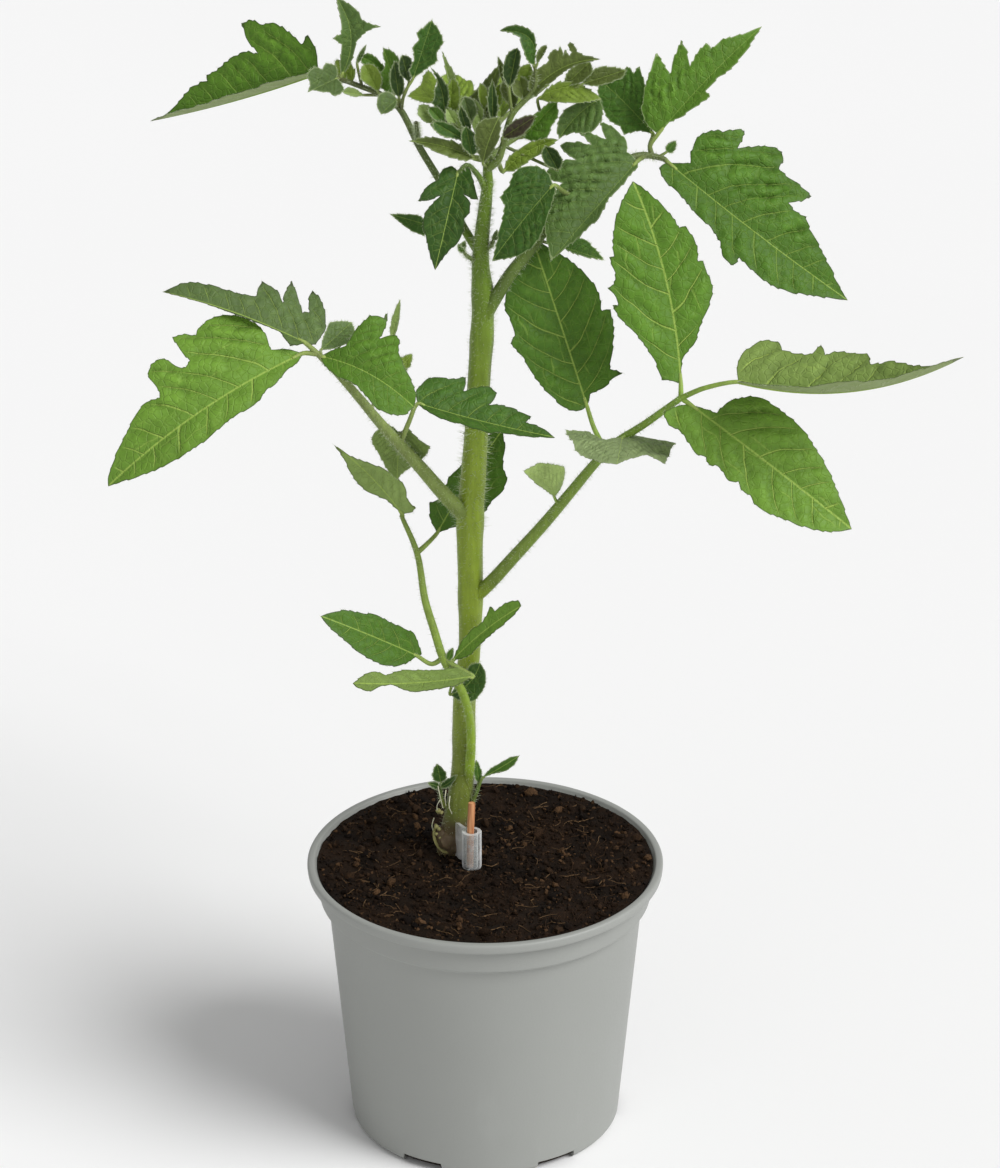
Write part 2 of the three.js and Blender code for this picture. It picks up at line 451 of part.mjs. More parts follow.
// The little stalk of a blade, from the stalk that it joins to a third of the way up its rib.
function bladeStalk({ joins, via = [], ...shape }, stalks) {
  const [which, place] = typeof joins === "number" ? [0, joins] : joins;
  const { path } = stalks[which];
  const start = smooth(path.map(seen)).getPoint(place / (path.length - 1));
  const sheet = new Sheet(shape);
  const small = sheet.length < SMALL_BLADE;
  const ribPoints = (small ? [0.07] : [0, 0.14]).map((s) => sheet.place(s, sheet.ribAcross(s)));
  const points = [start, ...via.map(seen), ...ribPoints];
  return limb(points, taper(small ? SMALL_STALK : LARGE_STALK, points.length), STALK_SIDES);
}

// A blade is a height over the flat sheet that holds its base and tip and faces as given.
class Sheet {
  constructor({ rib, face, fold = 0, curl = 0 }) {
    const ends = rib.map(seen);
    this.base = ends[0];
    this.chord = ends[ends.length - 1].clone().sub(this.base);
    this.length = this.chord.length();
    this.along = this.chord.clone().normalize();
    this.face = new THREE.Vector3(...face);
    this.face.addScaledVector(this.along, -this.face.dot(this.along)).normalize();
    this.across = this.face.clone().cross(this.along);
    this.fold = fold;
    this.curl = curl;
    this.bend = { sway: 0, rise: 0 };
    if (ends.length === 3) {
      const middle = ends[1].clone().sub(this.base);
      const s = middle.dot(this.along) / this.length;
      const share = s * (1 - s);
      this.bend = { sway: middle.dot(this.across) / share, rise: middle.dot(this.face) / share };
    }
  }

  ribAcross(s) {
    return this.bend.sway * s * (1 - s);
  }

  height(s, w) {
    const away = Math.abs(w - this.ribAcross(s));
    return this.bend.rise * s * (1 - s) + this.fold * away + this.curl * (away / 10) ** 2;
  }

  place(s, w) {
    return this.base.clone().addScaledVector(this.along, s * this.length)
      .addScaledVector(this.across, w).addScaledVector(this.face, this.height(s, w));
  }

  normal(s, w) {
    const step = 0.01;
    const ahead = this.place(s + step, w).sub(this.place(s - step, w));
    const aside = this.place(s, w + step).sub(this.place(s, w - step));
    return ahead.cross(aside).normalize();
  }

  // Which half the first edge bounds: 1 or -1 across the rib, by the side that it is seen on.
  sideOf([first, second], rib) {
    const [start, end] = [rib[0], rib[rib.length - 1]];
    const turn = ([px, py]) => (
      (py - start[1]) * (end[0] - start[0]) - (px - start[0]) * (end[1] - start[1])
    );
    const mean = (edge) => edge.reduce((sum, pixel) => sum + turn(pixel), 0) / edge.length;
    const seenSide = Math.sign((typeof second === "number" ? 0 : mean(second)) - mean(first));
    return this.face.dot(forward) < 0 ? seenSide : -seenSide;
  }

  // Where one half is seen at a point of the reference view: its share of the length, and across.
  find([px, py], side) {
    const ray = sightLine(px, py);
    const slope = this.face.clone().addScaledVector(this.across, -side * this.fold).normalize();
    let [s, w, lift] = [0, 0, 0];
    for (let pass = 0; pass < 6; pass++) {
      const start = this.base.clone().addScaledVector(this.face, lift);
      const plane = new THREE.Plane().setFromNormalAndCoplanarPoint(slope, start);
      const hit = ray.intersectPlane(plane, new THREE.Vector3()).sub(this.base);
      s = THREE.MathUtils.clamp(hit.dot(this.along) / this.length, -0.3, 1.1);
      w = hit.dot(this.across);
      lift = this.height(s, w) - this.fold * side * w;
    }
    const away = Math.max((w - this.ribAcross(s)) * side, NARROWEST);
    return new THREE.Vector2(s, this.ribAcross(s) + side * away);
  }
}

// The usual egg-shaped half of a small leaflet, with a tooth or two, for an edge not traced.
const PLAIN_EDGE = [[0.1, 0.6], [0.36, 1], [0.46, 0.84], [0.72, 0.62]];

function halfOutline(sheet, edge, side) {
  if (typeof edge === "number") {
    return PLAIN_EDGE.map(([s, share]) => new THREE.Vector2(s, sheet.ribAcross(s) + side * share * edge));
  }
  return edge.map((pixel) => sheet.find(pixel, side));
}

// A thin closed leaf blade, cut into the same triangles above and below.
function blade(shape) {
  const sheet = new Sheet(shape);
  const traced = typeof shape.edges[0] !== "number";
  const side = traced ? sheet.sideOf(shape.edges, shape.rib) : 1;
  const halves = [halfOutline(sheet, shape.edges[0], side), halfOutline(sheet, shape.edges[1], -side)];
  if (side > 0) {
    halves.reverse();
  }
  const spans = shape.rib.length > 2 ? RIB_SPANS : PLAIN_RIB_SPANS;
  const rib = Array.from({ length: spans + 1 }, (_, i) => {
    const s = i / spans;
    return new THREE.Vector2(s, sheet.ribAcross(s));
  });
  const flat = [...rib, ...halves[0], ...halves[1]];
  const ribIndices = rib.map((_, i) => i);
  const right = halves[0].map((_, i) => rib.length + i);
  const left = halves[1].map((_, i) => rib.length + halves[0].length + i);
  const faces = [];
  for (const [half, outward] of [[right, -1], [left, 1]]) {
    const ring = [...ribIndices, ...half.slice().reverse()];
    const outline = ring.map((i) => {
      const { x, y } = flat[i];
      const slack = i <= spans ? outward * RIB_SLACK * x * (1 - x) : 0;
      return new THREE.Vector2(x * sheet.length, y - slack);
    });
    for (const [a, b, c] of THREE.ShapeUtils.triangulateShape(outline, [])) {
      const area = outline[b].clone().sub(outline[a]).cross(outline[c].clone().sub(outline[a]));
      faces.push(area > 0 ? [ring[a], ring[b], ring[c]] : [ring[a], ring[c], ring[b]]);
    }
  }
  const positions = [];
  for (const skin of [0.5, -0.5]) {
    for (const { x, y } of flat) {
      const place = sheet.place(x, y).addScaledVector(sheet.normal(x, y), skin * BLADE_THICKNESS);
      positions.push(place.x, place.y, place.z);
    }
  }
  const under = flat.length;
  const indices = [];
  for (const [a, b, c] of faces) {
    indices.push(a, b, c, under + a, under + c, under + b);
  }
  const border = [0, ...right, spans, ...left.slice().reverse()];
  border.forEach((a, i) => {
    const b = border[(i + 1) % border.length];
    indices.push(a, under + a, b, b, under + a, under + b);
  });
  const geometry = new THREE.BufferGeometry();
  geometry.setAttribute("position", new THREE.BufferAttribute(new Float32Array(positions), 3));
  geometry.setIndex(indices);
  return solid(geometry);
}

// The potted parts.
function potProfile() {
  const collarFoot = POT_HEIGHT - COLLAR_HEIGHT;
  const lipFoot = POT_HEIGHT - LIP_HEIGHT;
  return [[0, 0], [FOOT_RADIUS - 1.8, 0], [FOOT_RADIUS - 0.4, 1.4], [BODY_RADIUS, collarFoot - 1.5],
    [COLLAR_RADIUS - 0.5, collarFoot], [COLLAR_RADIUS, lipFoot - 0.6],
    [RIM_RADIUS, lipFoot + 0.8], [RIM_RADIUS, POT_HEIGHT - 0.9], [RIM_RADIUS - 0.8, POT_HEIGHT],
    [MOUTH_RADIUS + 0.8, POT_HEIGHT], [MOUTH_RADIUS, POT_HEIGHT - 0.7],
    [COLLAR_RADIUS - WALL, lipFoot - 0.4], [COLLAR_RADIUS - 0.5 - WALL, collarFoot + 1],
    [BODY_RADIUS - WALL, collarFoot - 0.5],
    [FOOT_RADIUS - WALL, FLOOR], [0, FLOOR]].map(([r, z]) => new THREE.Vector2(r, z));
}

function turned(profile, segments = POT_SEGMENTS) {
  const geometry = new THREE.LatheGeometry(profile, segments);
  geometry.rotateX(Math.PI / 2);
  return geometry;
}

function makePot() {
  let pot = solid(turned(potProfile()));
  for (let k = 0; k < DRAINS; k++) {
    const reach = RIM_RADIUS - DRAIN_INNER_RADIUS;
    const slot = new THREE.BoxGeometry(reach, DRAIN_WIDTH, DRAIN_HEIGHT + 1);
    slot.translate(DRAIN_INNER_RADIUS + reach / 2, 0, (DRAIN_HEIGHT - 1) / 2);
    slot.rotateZ(DRAIN_TURN + (k * 2 * Math.PI) / DRAINS);
    pot = pot.subtract(solid(slot));
  }
  return pot;
}

function soilRelief(x, y) {
  return SOIL_RELIEF * (Math.sin(x * 0.31 + y * 0.17) * Math.cos(y * 0.27 - x * 0.12)
    + 0.5 * Math.sin(x * 0.71 - y * 0.53));
}

function makeSoil() {
  const collarFoot = POT_HEIGHT - COLLAR_HEIGHT;
  const lipFoot = POT_HEIGHT - LIP_HEIGHT;
  const inset = WALL + SEAT_GAP;
  const edge = COLLAR_RADIUS - inset + 0.7;
  const profile = [[0, FLOOR + SEAT_GAP], [FOOT_RADIUS - inset - 0.1, FLOOR + SEAT_GAP],
    [BODY_RADIUS - inset, collarFoot - 0.1], [COLLAR_RADIUS - 0.7 - inset, collarFoot + 1.6],
    [COLLAR_RADIUS - inset - 0.1, lipFoot - 0.4], [edge, SOIL_LEVEL - 0.6],
  ].map(([r, z]) => new THREE.Vector2(r, z));
  for (let ring = 1; ring < SOIL_RINGS; ring++) {
    profile.push(new THREE.Vector2(edge * (1 - ring / SOIL_RINGS) ** 0.8, SOIL_LEVEL));
  }
  profile.push(new THREE.Vector2(0, SOIL_LEVEL));
  const geometry = turned(profile);
  const position = geometry.attributes.position;
  for (let i = 0; i < position.count; i++) {
    if (position.getZ(i) > SOIL_LEVEL - 0.1) {
      const [x, y] = [position.getX(i), position.getY(i)];
      const dish = SOIL_DISH * (1 - (x * x + y * y) / (edge * edge));
      position.setZ(i, SOIL_LEVEL - dish + soilRelief(x, y));
    }
  }
  return solid(geometry);
}

// The points of an upright path, with both ends run on by the same clearance.
function grown(path, grow) {
  const points = path.map(seen);
  points[0].z -= grow;
  points[points.length - 1].z += grow;
  return points;
}

function makeStem(grow = 0) {
  const trunk = limb(grown(STEM_PATH, grow), STEM_THICK, STEM_SIDES, 1, grow);
  const lumps = GRAFT_LUMPS.map(([px, py, nearer, radius]) => {
    const lump = new THREE.IcosahedronGeometry(radius + grow, 1);
    const centre = seen([px, py, nearer]);
    lump.translate(centre.x, centre.y, centre.z);
    return solid(lump);
  });
  return fuse([trunk, ...lumps]);
}

function makeStick(grow = 0) {
  return limb(grown(STICK_PATH, grow), STICK_PATH.map(() => STICK_THICK), STEM_SIDES, 1, grow);
}

// The clip is a split sleeve round the stick, with a wing that reaches back to the stem.
function makeClip() {
  const foot = seen(CLIP_PLACE);
  const ring = new THREE.Shape();
  ring.absarc(0, 0, CLIP_OUTER, CLIP_GAP, 2 * Math.PI - CLIP_GAP, false);
  ring.absarc(0, 0, CLIP_BORE, 2 * Math.PI - CLIP_GAP, CLIP_GAP, true);
  const sleeve = new THREE.ExtrudeGeometry(ring, { depth: CLIP_HEIGHT, bevelEnabled: false,
    curveSegments: 18 });
  sleeve.rotateZ(CLIP_TURN);
  sleeve.translate(foot.x, foot.y, foot.z);
  const { turn, length, thickness, start, trim } = CLIP_WING;
  const wing = new THREE.BoxGeometry(length, thickness, CLIP_HEIGHT - trim);
  wing.translate(start + length / 2, thickness / 2, (CLIP_HEIGHT + trim) / 2);
  wing.rotateZ(turn);
  wing.translate(foot.x, foot.y, foot.z);
  return fuse([solid(sleeve), solid(wing)]);
}

// The plain pit in the soil that the foot of the clip stands in.
function makeClipPit() {
  const foot = seen(CLIP_PLACE);
  const pit = new THREE.CylinderGeometry(CLIP_OUTER + SEAT_GAP, CLIP_OUTER + SEAT_GAP, CLIP_HEIGHT, 12);
  pit.rotateX(Math.PI / 2);
  pit.translate(foot.x, foot.y, foot.z + CLIP_HEIGHT / 2 - SEAT_GAP);
  return solid(pit);
}

function makeLeaf({ stalks, blades }) {
  return fuse([...stalks.map(stalk), ...blades.map((shape) => bladeStalk(shape, stalks)),
    ...blades.map(blade)]);
}

// The whole plant, set together. Whatever meets is cut back to a thin seat.
const group = new THREE.Group();
const stem = makeStem();
const stemRoom = makeStem(SEAT_GAP);
const stick = makeStick();
const stickRoom = makeStick(SEAT_GAP);
group.add(mesh("pot", makePot(), "#8f9692", 0.45));
const soil = makeSoil().subtract(stemRoom).subtract(stickRoom).subtract(makeClipPit());
group.add(mesh("soil", soil, "#2b2018", 1));
group.add(mesh("stem", stem, "#7c9447", 0.7));
group.add(mesh("support_stick", stick, "#c98a5a", 0.8));
group.add(mesh("graft_clip", makeClip().subtract(stemRoom).subtract(stickRoom), "#d9dcdb", 0.3));
for (const [name, leaf] of Object.entries(LEAVES)) {
  group.add(mesh(name, makeLeaf(leaf).subtract(stemRoom), leaf.color));
}

export default group;
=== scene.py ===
# A young grafted tomato plant in a round plastic pot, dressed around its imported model.
import math

import bmesh
import bpy
import numpy as np
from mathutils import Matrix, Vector
from mathutils.geometry import delaunay_2d_cdt


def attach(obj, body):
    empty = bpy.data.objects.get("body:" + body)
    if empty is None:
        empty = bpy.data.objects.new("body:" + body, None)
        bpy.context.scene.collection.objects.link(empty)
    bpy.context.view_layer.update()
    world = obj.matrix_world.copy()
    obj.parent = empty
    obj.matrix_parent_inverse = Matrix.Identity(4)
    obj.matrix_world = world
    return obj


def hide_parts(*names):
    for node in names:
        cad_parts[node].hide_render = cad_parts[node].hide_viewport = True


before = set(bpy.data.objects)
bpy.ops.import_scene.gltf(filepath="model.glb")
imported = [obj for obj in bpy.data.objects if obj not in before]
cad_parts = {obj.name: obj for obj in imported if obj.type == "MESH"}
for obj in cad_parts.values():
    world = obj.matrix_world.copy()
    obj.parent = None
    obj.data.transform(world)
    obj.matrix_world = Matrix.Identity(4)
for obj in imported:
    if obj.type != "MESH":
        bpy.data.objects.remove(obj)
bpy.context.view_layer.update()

MM = 0.001
FULL_TURN = 2 * math.pi
chance = np.random.default_rng(7)

# The photograph's view, in millimetres and in pixels of a picture of 1000 by 1168.
PICTURE_CENTRE = (500, 584)
PICTURE_HEIGHT = 1168
FOCAL_PIXELS = 4983
SENSOR = 36.0
VIEW_TARGET = np.array((5.4, 0.0, 215.7))
VIEW_DISTANCE = 1770
VIEW_ELEVATION = math.radians(25.3)
STEM_PLANE_Y = 11
RIGHTWARD = np.array((1.0, 0.0, 0.0))
INWARD = np.array((0.0, 1.0, 0.0))
SKYWARD = np.array((0.0, 0.0, 1.0))
FORWARD = np.array((0.0, math.cos(VIEW_ELEVATION), -math.sin(VIEW_ELEVATION)))
UPWARD = np.array((0.0, math.sin(VIEW_ELEVATION), math.cos(VIEW_ELEVATION)))
EYE = VIEW_TARGET - FORWARD * VIEW_DISTANCE


def paint(red, green, blue):
    """A colour as the eye counts it, from 0 to 255, turned into amounts of light."""
    shares = np.array((red, green, blue)) / 255
    return tuple(np.where(shares < 0.04045, shares / 12.92, ((shares + 0.055) / 1.055) ** 2.4))


# The greens that a whole blade starts from.
TONES = dict(
    vivid=paint(104, 142, 48), bright=paint(88, 128, 36), fresh=paint(76, 114, 32),
    mid=paint(66, 102, 32), deep=paint(52, 84, 26), dark=paint(42, 66, 22), grey=paint(88, 110, 60),
    pale=paint(144, 168, 94), bronze=paint(68, 56, 46), yellow=paint(122, 146, 52),
    soft=paint(126, 150, 76), olive=paint(88, 102, 46), greyish=paint(82, 108, 52),
    light=paint(170, 194, 116), silver=paint(140, 158, 108),
)
UNDER_TONE = paint(148, 166, 104)
RIB_TONE = paint(156, 182, 76)
BLADE_STALK_TONE = paint(146, 166, 84)
HAIR_TONE = paint(212, 222, 190)

# The green of the stem at a few heights, in millimetres.
STEM_TONES = ((105, paint(92, 98, 46)), (135, paint(112, 126, 48)), (180, paint(128, 148, 46)),
              (250, paint(128, 148, 46)), (330, paint(98, 124, 38)), (410, paint(98, 124, 38)))


def stem_tone(heights):
    marks = [mark for mark, _ in STEM_TONES]
    return np.stack([np.interp(heights, marks, [tone[k] for _, tone in STEM_TONES])
                     for k in range(3)], axis=-1)


# How each leaf differs: its green, how quilted it is, how many side veins a blade has on each
# side, its fold, how deep its fine teeth are, the greens at the foot and the end of its stalks,
# and how many hairs they carry. A blade that gives one of the first four goes by its own.
LOOK_NAMES = ("tone", "quilt", "ribs", "fold", "teeth", "foot_tone", "end_tone", "hairs")
LEAF_LOOKS = dict(
    leaf_lower_front=("fresh", 0.9, 7, 0.1, 0.1, paint(136, 164, 50), paint(120, 140, 66), 700),
    leaf_right=("bright", 1.2, 7, 0.1, 0.12, paint(113, 131, 55), paint(122, 152, 60), 1200),
    leaf_left=("bright", 1.5, 8, 0.12, 0.1, paint(114, 131, 64), paint(116, 130, 72), 1100),
    leaf_upper_right=("mid", 2.4, 9, 0.15, 0.14, paint(92, 114, 48), paint(84, 94, 54), 1000),
    leaf_upper_left=("bright", 2.0, 9, 0.36, 0.12, paint(84, 106, 48), paint(82, 86, 54), 1000),
    leaf_young_front=("deep", 1.6, 8, 0.2, 0.08, paint(88, 112, 54), paint(84, 104, 50), 200),
    shoot_tip=("mid", 2.2, 6, 0.55, 0.14, paint(112, 132, 66), paint(92, 104, 58), 1800),
    sprout_left=("deep", 1.2, 6, 0.2, 0.06, paint(96, 112, 60), paint(84, 104, 50), 90),
    sprout_right=("mid", 1.2, 6, 0.2, 0.06, paint(98, 118, 56), paint(92, 116, 52), 90),
)

# The leaves. Each point is across and down the picture in pixels, and those of stalks and ribs
# also say how far nearer than the stem they are, in millimetres. A stalk has a path, and its
# diameters at both ends or at every point. A blade joins a stalk at a place counted in the points
# of that stalk's path, with the stalk's number first where it isn't the first one, and goes by way
# of any points listed. It has a rib from base to tip, the direction that its upper side faces, and
# two edges, each traced from base to tip or given as a half width in millimetres. A fold lifts
# both halves, a curl bends them further, quilt is how far the blade swells between its side veins,
# ribs is their number on each side, and tone is its green.
BLADE_DEFAULTS = dict(face=[0, -0.95, 0.3], curl=0, via=[])
LEAVES = {}
LEAVES["leaf_lower_front"] = dict(stalks=[
    dict(path=[[466, 790, 1], [470, 762, 4.5], [471, 738, 7], [469, 715, 9], [463, 694, 12],
               [455, 679, 14], [443, 658, 16], [434, 630, 13], [425, 600, 8], [417, 553, -1],
               [402, 517, -6]], thick=[4.2, 3.6, 3.3, 3.2, 3.2, 3.1, 3.0, 2.9, 2.7, 2.2, 1.6]),
], blades=[
    dict(joins=6, via=[[432, 664, 16]], rib=[[418, 656, 18], [372, 636, 24], [321, 616, 28]],
         face=[-0.1, -0.7, 0.7], edges=[
        [[422, 654], [419, 645], [415, 634], [404, 628], [392, 623], [376, 615], [361, 613],
         [346, 610], [333, 612]],
        [[413, 659], [405, 664], [388, 666], [368, 658], [345, 641], [327, 625]]]),
    dict(joins=6, tone="vivid", rib=[[452, 661, 17], [488, 628, 18], [521, 606, 17]],
         face=[-0.35, -0.8, 0.5], edges=[
        [[460, 644], [471, 630], [482, 622], [491, 606], [495, 611], [506, 603], [518, 600]],
        [[470, 655], [484, 641], [512, 617]]]),
    dict(joins=6, tone="soft", via=[[460, 669, 18]],
         rib=[[474, 676, 19], [415, 683, 32], [353, 683, 44]], face=[0, -0.45, 0.9], edges=[
        [[462, 667], [445, 669], [398, 671], [386, 675], [376, 672], [364, 675]],
        [[460, 684], [446, 688], [408, 691], [392, 684], [382, 686], [368, 691], [358, 688]]]),
    dict(joins=9, via=[[427, 544, -4]], rib=[[437, 533, -8], [466, 484, -13], [502, 430, -18]],
         face=[-0.2, -0.88, 0.4], fold=0.08, edges=[
        [[430, 518], [430, 503], [442, 496], [449, 477], [461, 466], [474, 446], [490, 434]],
        [[454, 527], [485, 512], [491, 503], [503, 490], [507, 479], [503, 466], [505, 446]]]),
    dict(joins=10, tone="pale", rib=[[402, 514, -6], [374, 480, -9], [334, 445, -16]],
         face=[-0.3, -0.75, 0.6], fold=0.12, edges=[
        [[393, 506], [386, 500], [368, 492], [355, 480], [343, 458]],
        [[412, 512], [416, 508], [408, 500], [406, 489], [398, 478], [384, 469], [370, 463],
         [353, 457]]]),
    dict(joins=5, tone="deep", via=[[451, 688, 11]],
         rib=[[450, 695, 9], [467, 685, 8], [480, 663, 7]], face=[0.1, -0.9, 0.4], edges=[
        [[456, 686], [464, 673], [472, 664]],
        [[459, 700], [468, 702], [476, 699], [483, 690], [486, 680], [484, 669]]]),
    dict(joins=6, rib=[[448, 660, 17], [453, 648, 18]], face=[-0.3, -0.9, 0.3], edges=[1.3, 1.3]),
])
LEAVES["leaf_right"] = dict(stalks=[
    dict(path=[[474, 596, 0], [487, 586, 3], [515, 556, 9], [545, 523, 15], [572, 491, 20],
               [592, 467, 24], [613, 445, 28], [645, 424, 33], [681, 398, 38]], thick=[5.2, 2.2]),
], blades=[
    dict(joins=3.5, tone="light", rib=[[555, 497, 19], [543, 480, 22], [524, 471, 25]],
         face=[0.1, -0.75, 0.65], edges=[
        [[562, 486], [565, 475], [562, 466], [551, 464], [540, 463], [531, 467]],
        [[548, 492], [538, 485], [529, 477]]]),
    dict(joins=5.7, tone="fresh", via=[[594, 428, 22]],
         rib=[[587, 406, 18], [561, 325, 3], [533, 240, -7]], face=[0.08, -0.92, 0.38], curl=-0.6,
         edges=[
        [[582, 410], [569, 410], [552, 397], [535, 378], [523, 358], [510, 344], [514, 336],
         [511, 322], [505, 308], [506, 295], [512, 280], [520, 262]],
        [[590, 394], [602, 389], [613, 379], [622, 373], [610, 369], [614, 330], [611, 309],
         [602, 311], [600, 297], [593, 283], [572, 262], [545, 245]]]),
    dict(joins=8, rib=[[681, 384, 35], [665, 275, 18], [633, 181, 6]], face=[0.12, -0.93, 0.34],
         curl=-0.6, edges=[
        [[672, 381], [662, 380], [655, 362], [632, 330], [620, 319], [612, 305], [618, 306],
         [615, 296], [608, 288], [614, 284], [615, 275], [609, 257], [614, 256], [613, 238],
         [617, 214], [625, 195]],
        [[684, 356], [694, 345], [700, 328], [713, 290], [708, 274], [703, 261], [698, 262],
         [697, 246], [686, 226], [679, 228], [672, 216], [646, 190]]]),
    dict(joins=8, tone="soft", via=[[705, 388, 42]],
         rib=[[738, 381, 46], [860, 389, 60], [963, 356, 70]], face=[0, -0.05, 1], fold=0.6, edges=[
        [[737, 368], [743, 355], [763, 342], [780, 343], [782, 351], [800, 354], [812, 353],
         [821, 344], [825, 356], [837, 351], [867, 352], [870, 364], [888, 362], [925, 366],
         [948, 363]],
        14]),
    dict(joins=8, tone="vivid", rib=[[690, 404, 39], [768, 463, 51], [852, 529, 58]],
         face=[0.12, -0.78, 0.6], fold=0.12, curl=-0.6, edges=[
        [[700, 407], [717, 413], [726, 403], [740, 398], [757, 397], [788, 416], [803, 431],
         [818, 452], [830, 472], [839, 495]],
        [[664, 412], [668, 426], [679, 431], [697, 454], [706, 457], [709, 465], [719, 467],
         [728, 480], [738, 482], [743, 491], [750, 495], [758, 507], [779, 518], [810, 529],
         [835, 532]]]),
    dict(joins=6.5, tone="silver", rib=[[622, 437, 32], [620, 449, 41], [617, 463, 48]],
         face=[0, -0.5, 0.85], fold=-0.1, edges=[
        [[606, 440], [598, 437], [590, 429], [571, 420], [566, 430], [573, 444], [579, 453],
         [592, 459], [604, 463]],
        [[633, 430], [646, 426], [661, 421], [659, 430], [677, 435], [671, 450], [665, 465],
         [657, 460], [646, 455], [630, 459]]]),
])
LEAVES["leaf_left"] = dict(stalks=[
    dict(path=[[473, 523, -3.5], [456, 507, 4.2], [440, 490, 9], [420, 467, 14], [400, 445, 19],
               [380, 423, 24], [360, 399, 29], [338, 374, 33], [318, 354, 36]], thick=[6.0, 2.2]),
], blades=[
    dict(joins=8, tone="vivid", rib=[[303, 353, 37], [214, 402, 53], [108, 486, 62]],
         face=[-0.12, -0.78, 0.6], fold=0.1, curl=-0.5, edges=[
        [[286, 349], [271, 350], [266, 335], [257, 324], [242, 317], [225, 315], [210, 319],
         [198, 328], [196, 335], [184, 334], [172, 337], [180, 350], [190, 361], [186, 368],
         [177, 367], [165, 359], [152, 365], [148, 378], [158, 389], [160, 398], [145, 403],
         [124, 437], [108, 478]],
        [[297, 363], [285, 372], [276, 384], [267, 390], [258, 402], [231, 419], [203, 442],
         [165, 466], [140, 476]]]),
    dict(joins=8, tone="grey", rib=[[305, 342, 36], [238, 313, 33], [163, 291, 29]],
         face=[-0.05, -0.4, 0.92], fold=0.2, edges=[
        [[316, 344], [325, 330], [325, 314], [320, 298], [313, 289], [309, 298], [309, 312],
         [303, 312], [298, 296], [292, 280], [285, 292], [283, 302], [277, 290], [262, 281],
         [257, 296], [240, 294], [190, 282]],
        [[290, 346], [284, 337], [280, 329], [244, 317], [203, 302], [196, 294]]]),
    dict(joins=8, rib=[[320, 356, 36], [370, 374, 44], [414, 407, 48]], face=[0.15, -0.82, 0.55],
         fold=0.1, curl=-0.5, edges=[
        [[335, 349], [346, 346], [355, 331], [370, 316], [384, 318], [388, 312], [386, 325],
         [380, 338], [395, 335], [400, 340], [399, 352], [416, 394]],
        [[325, 366], [340, 378], [354, 384], [378, 409], [390, 414], [404, 415]]]),
    dict(joins=7.8, tone="grey", rib=[[321, 350, 31], [352, 322, 21]], face=[0, -0.85, 0.5], edges=[
        [[323, 338], [330, 322], [342, 321]],
        [[336, 348], [349, 342], [355, 333]]]),
    dict(joins=6.5, tone="pale", via=[[376, 358, 22]], rib=[[392, 338, 19], [400, 300, 16]],
         face=[-0.3, -0.9, 0.3], edges=[1.5, 1.3]),
    dict(joins=5.5, tone="yellow", via=[[384, 384, 20]], rib=[[399, 370, 18], [412, 354, 16]],
         face=[0, -0.9, 0.4], edges=[2.2, 2.2]),
    dict(joins=4, tone="mid", via=[[409, 422, 20]],
         rib=[[418, 403, 21], [486, 422, 23], [555, 437, 25]], face=[0, -0.35, 0.93], fold=0.35,
         edges=[
        [[416, 390], [424, 381], [433, 376], [450, 379], [466, 377], [463, 391], [476, 388],
         [488, 388], [497, 394], [489, 405], [506, 406], [520, 411], [531, 416], [526, 422]],
        7]),
    dict(joins=4, tone="soft", rib=[[399, 434, 14], [397, 480, 5]], face=[0, -0.92, 0.4], edges=[
        [[388, 424], [375, 432], [372, 443], [380, 455], [386, 468]],
        [[408, 428], [420, 440], [430, 446], [424, 458], [404, 472]]]),
])
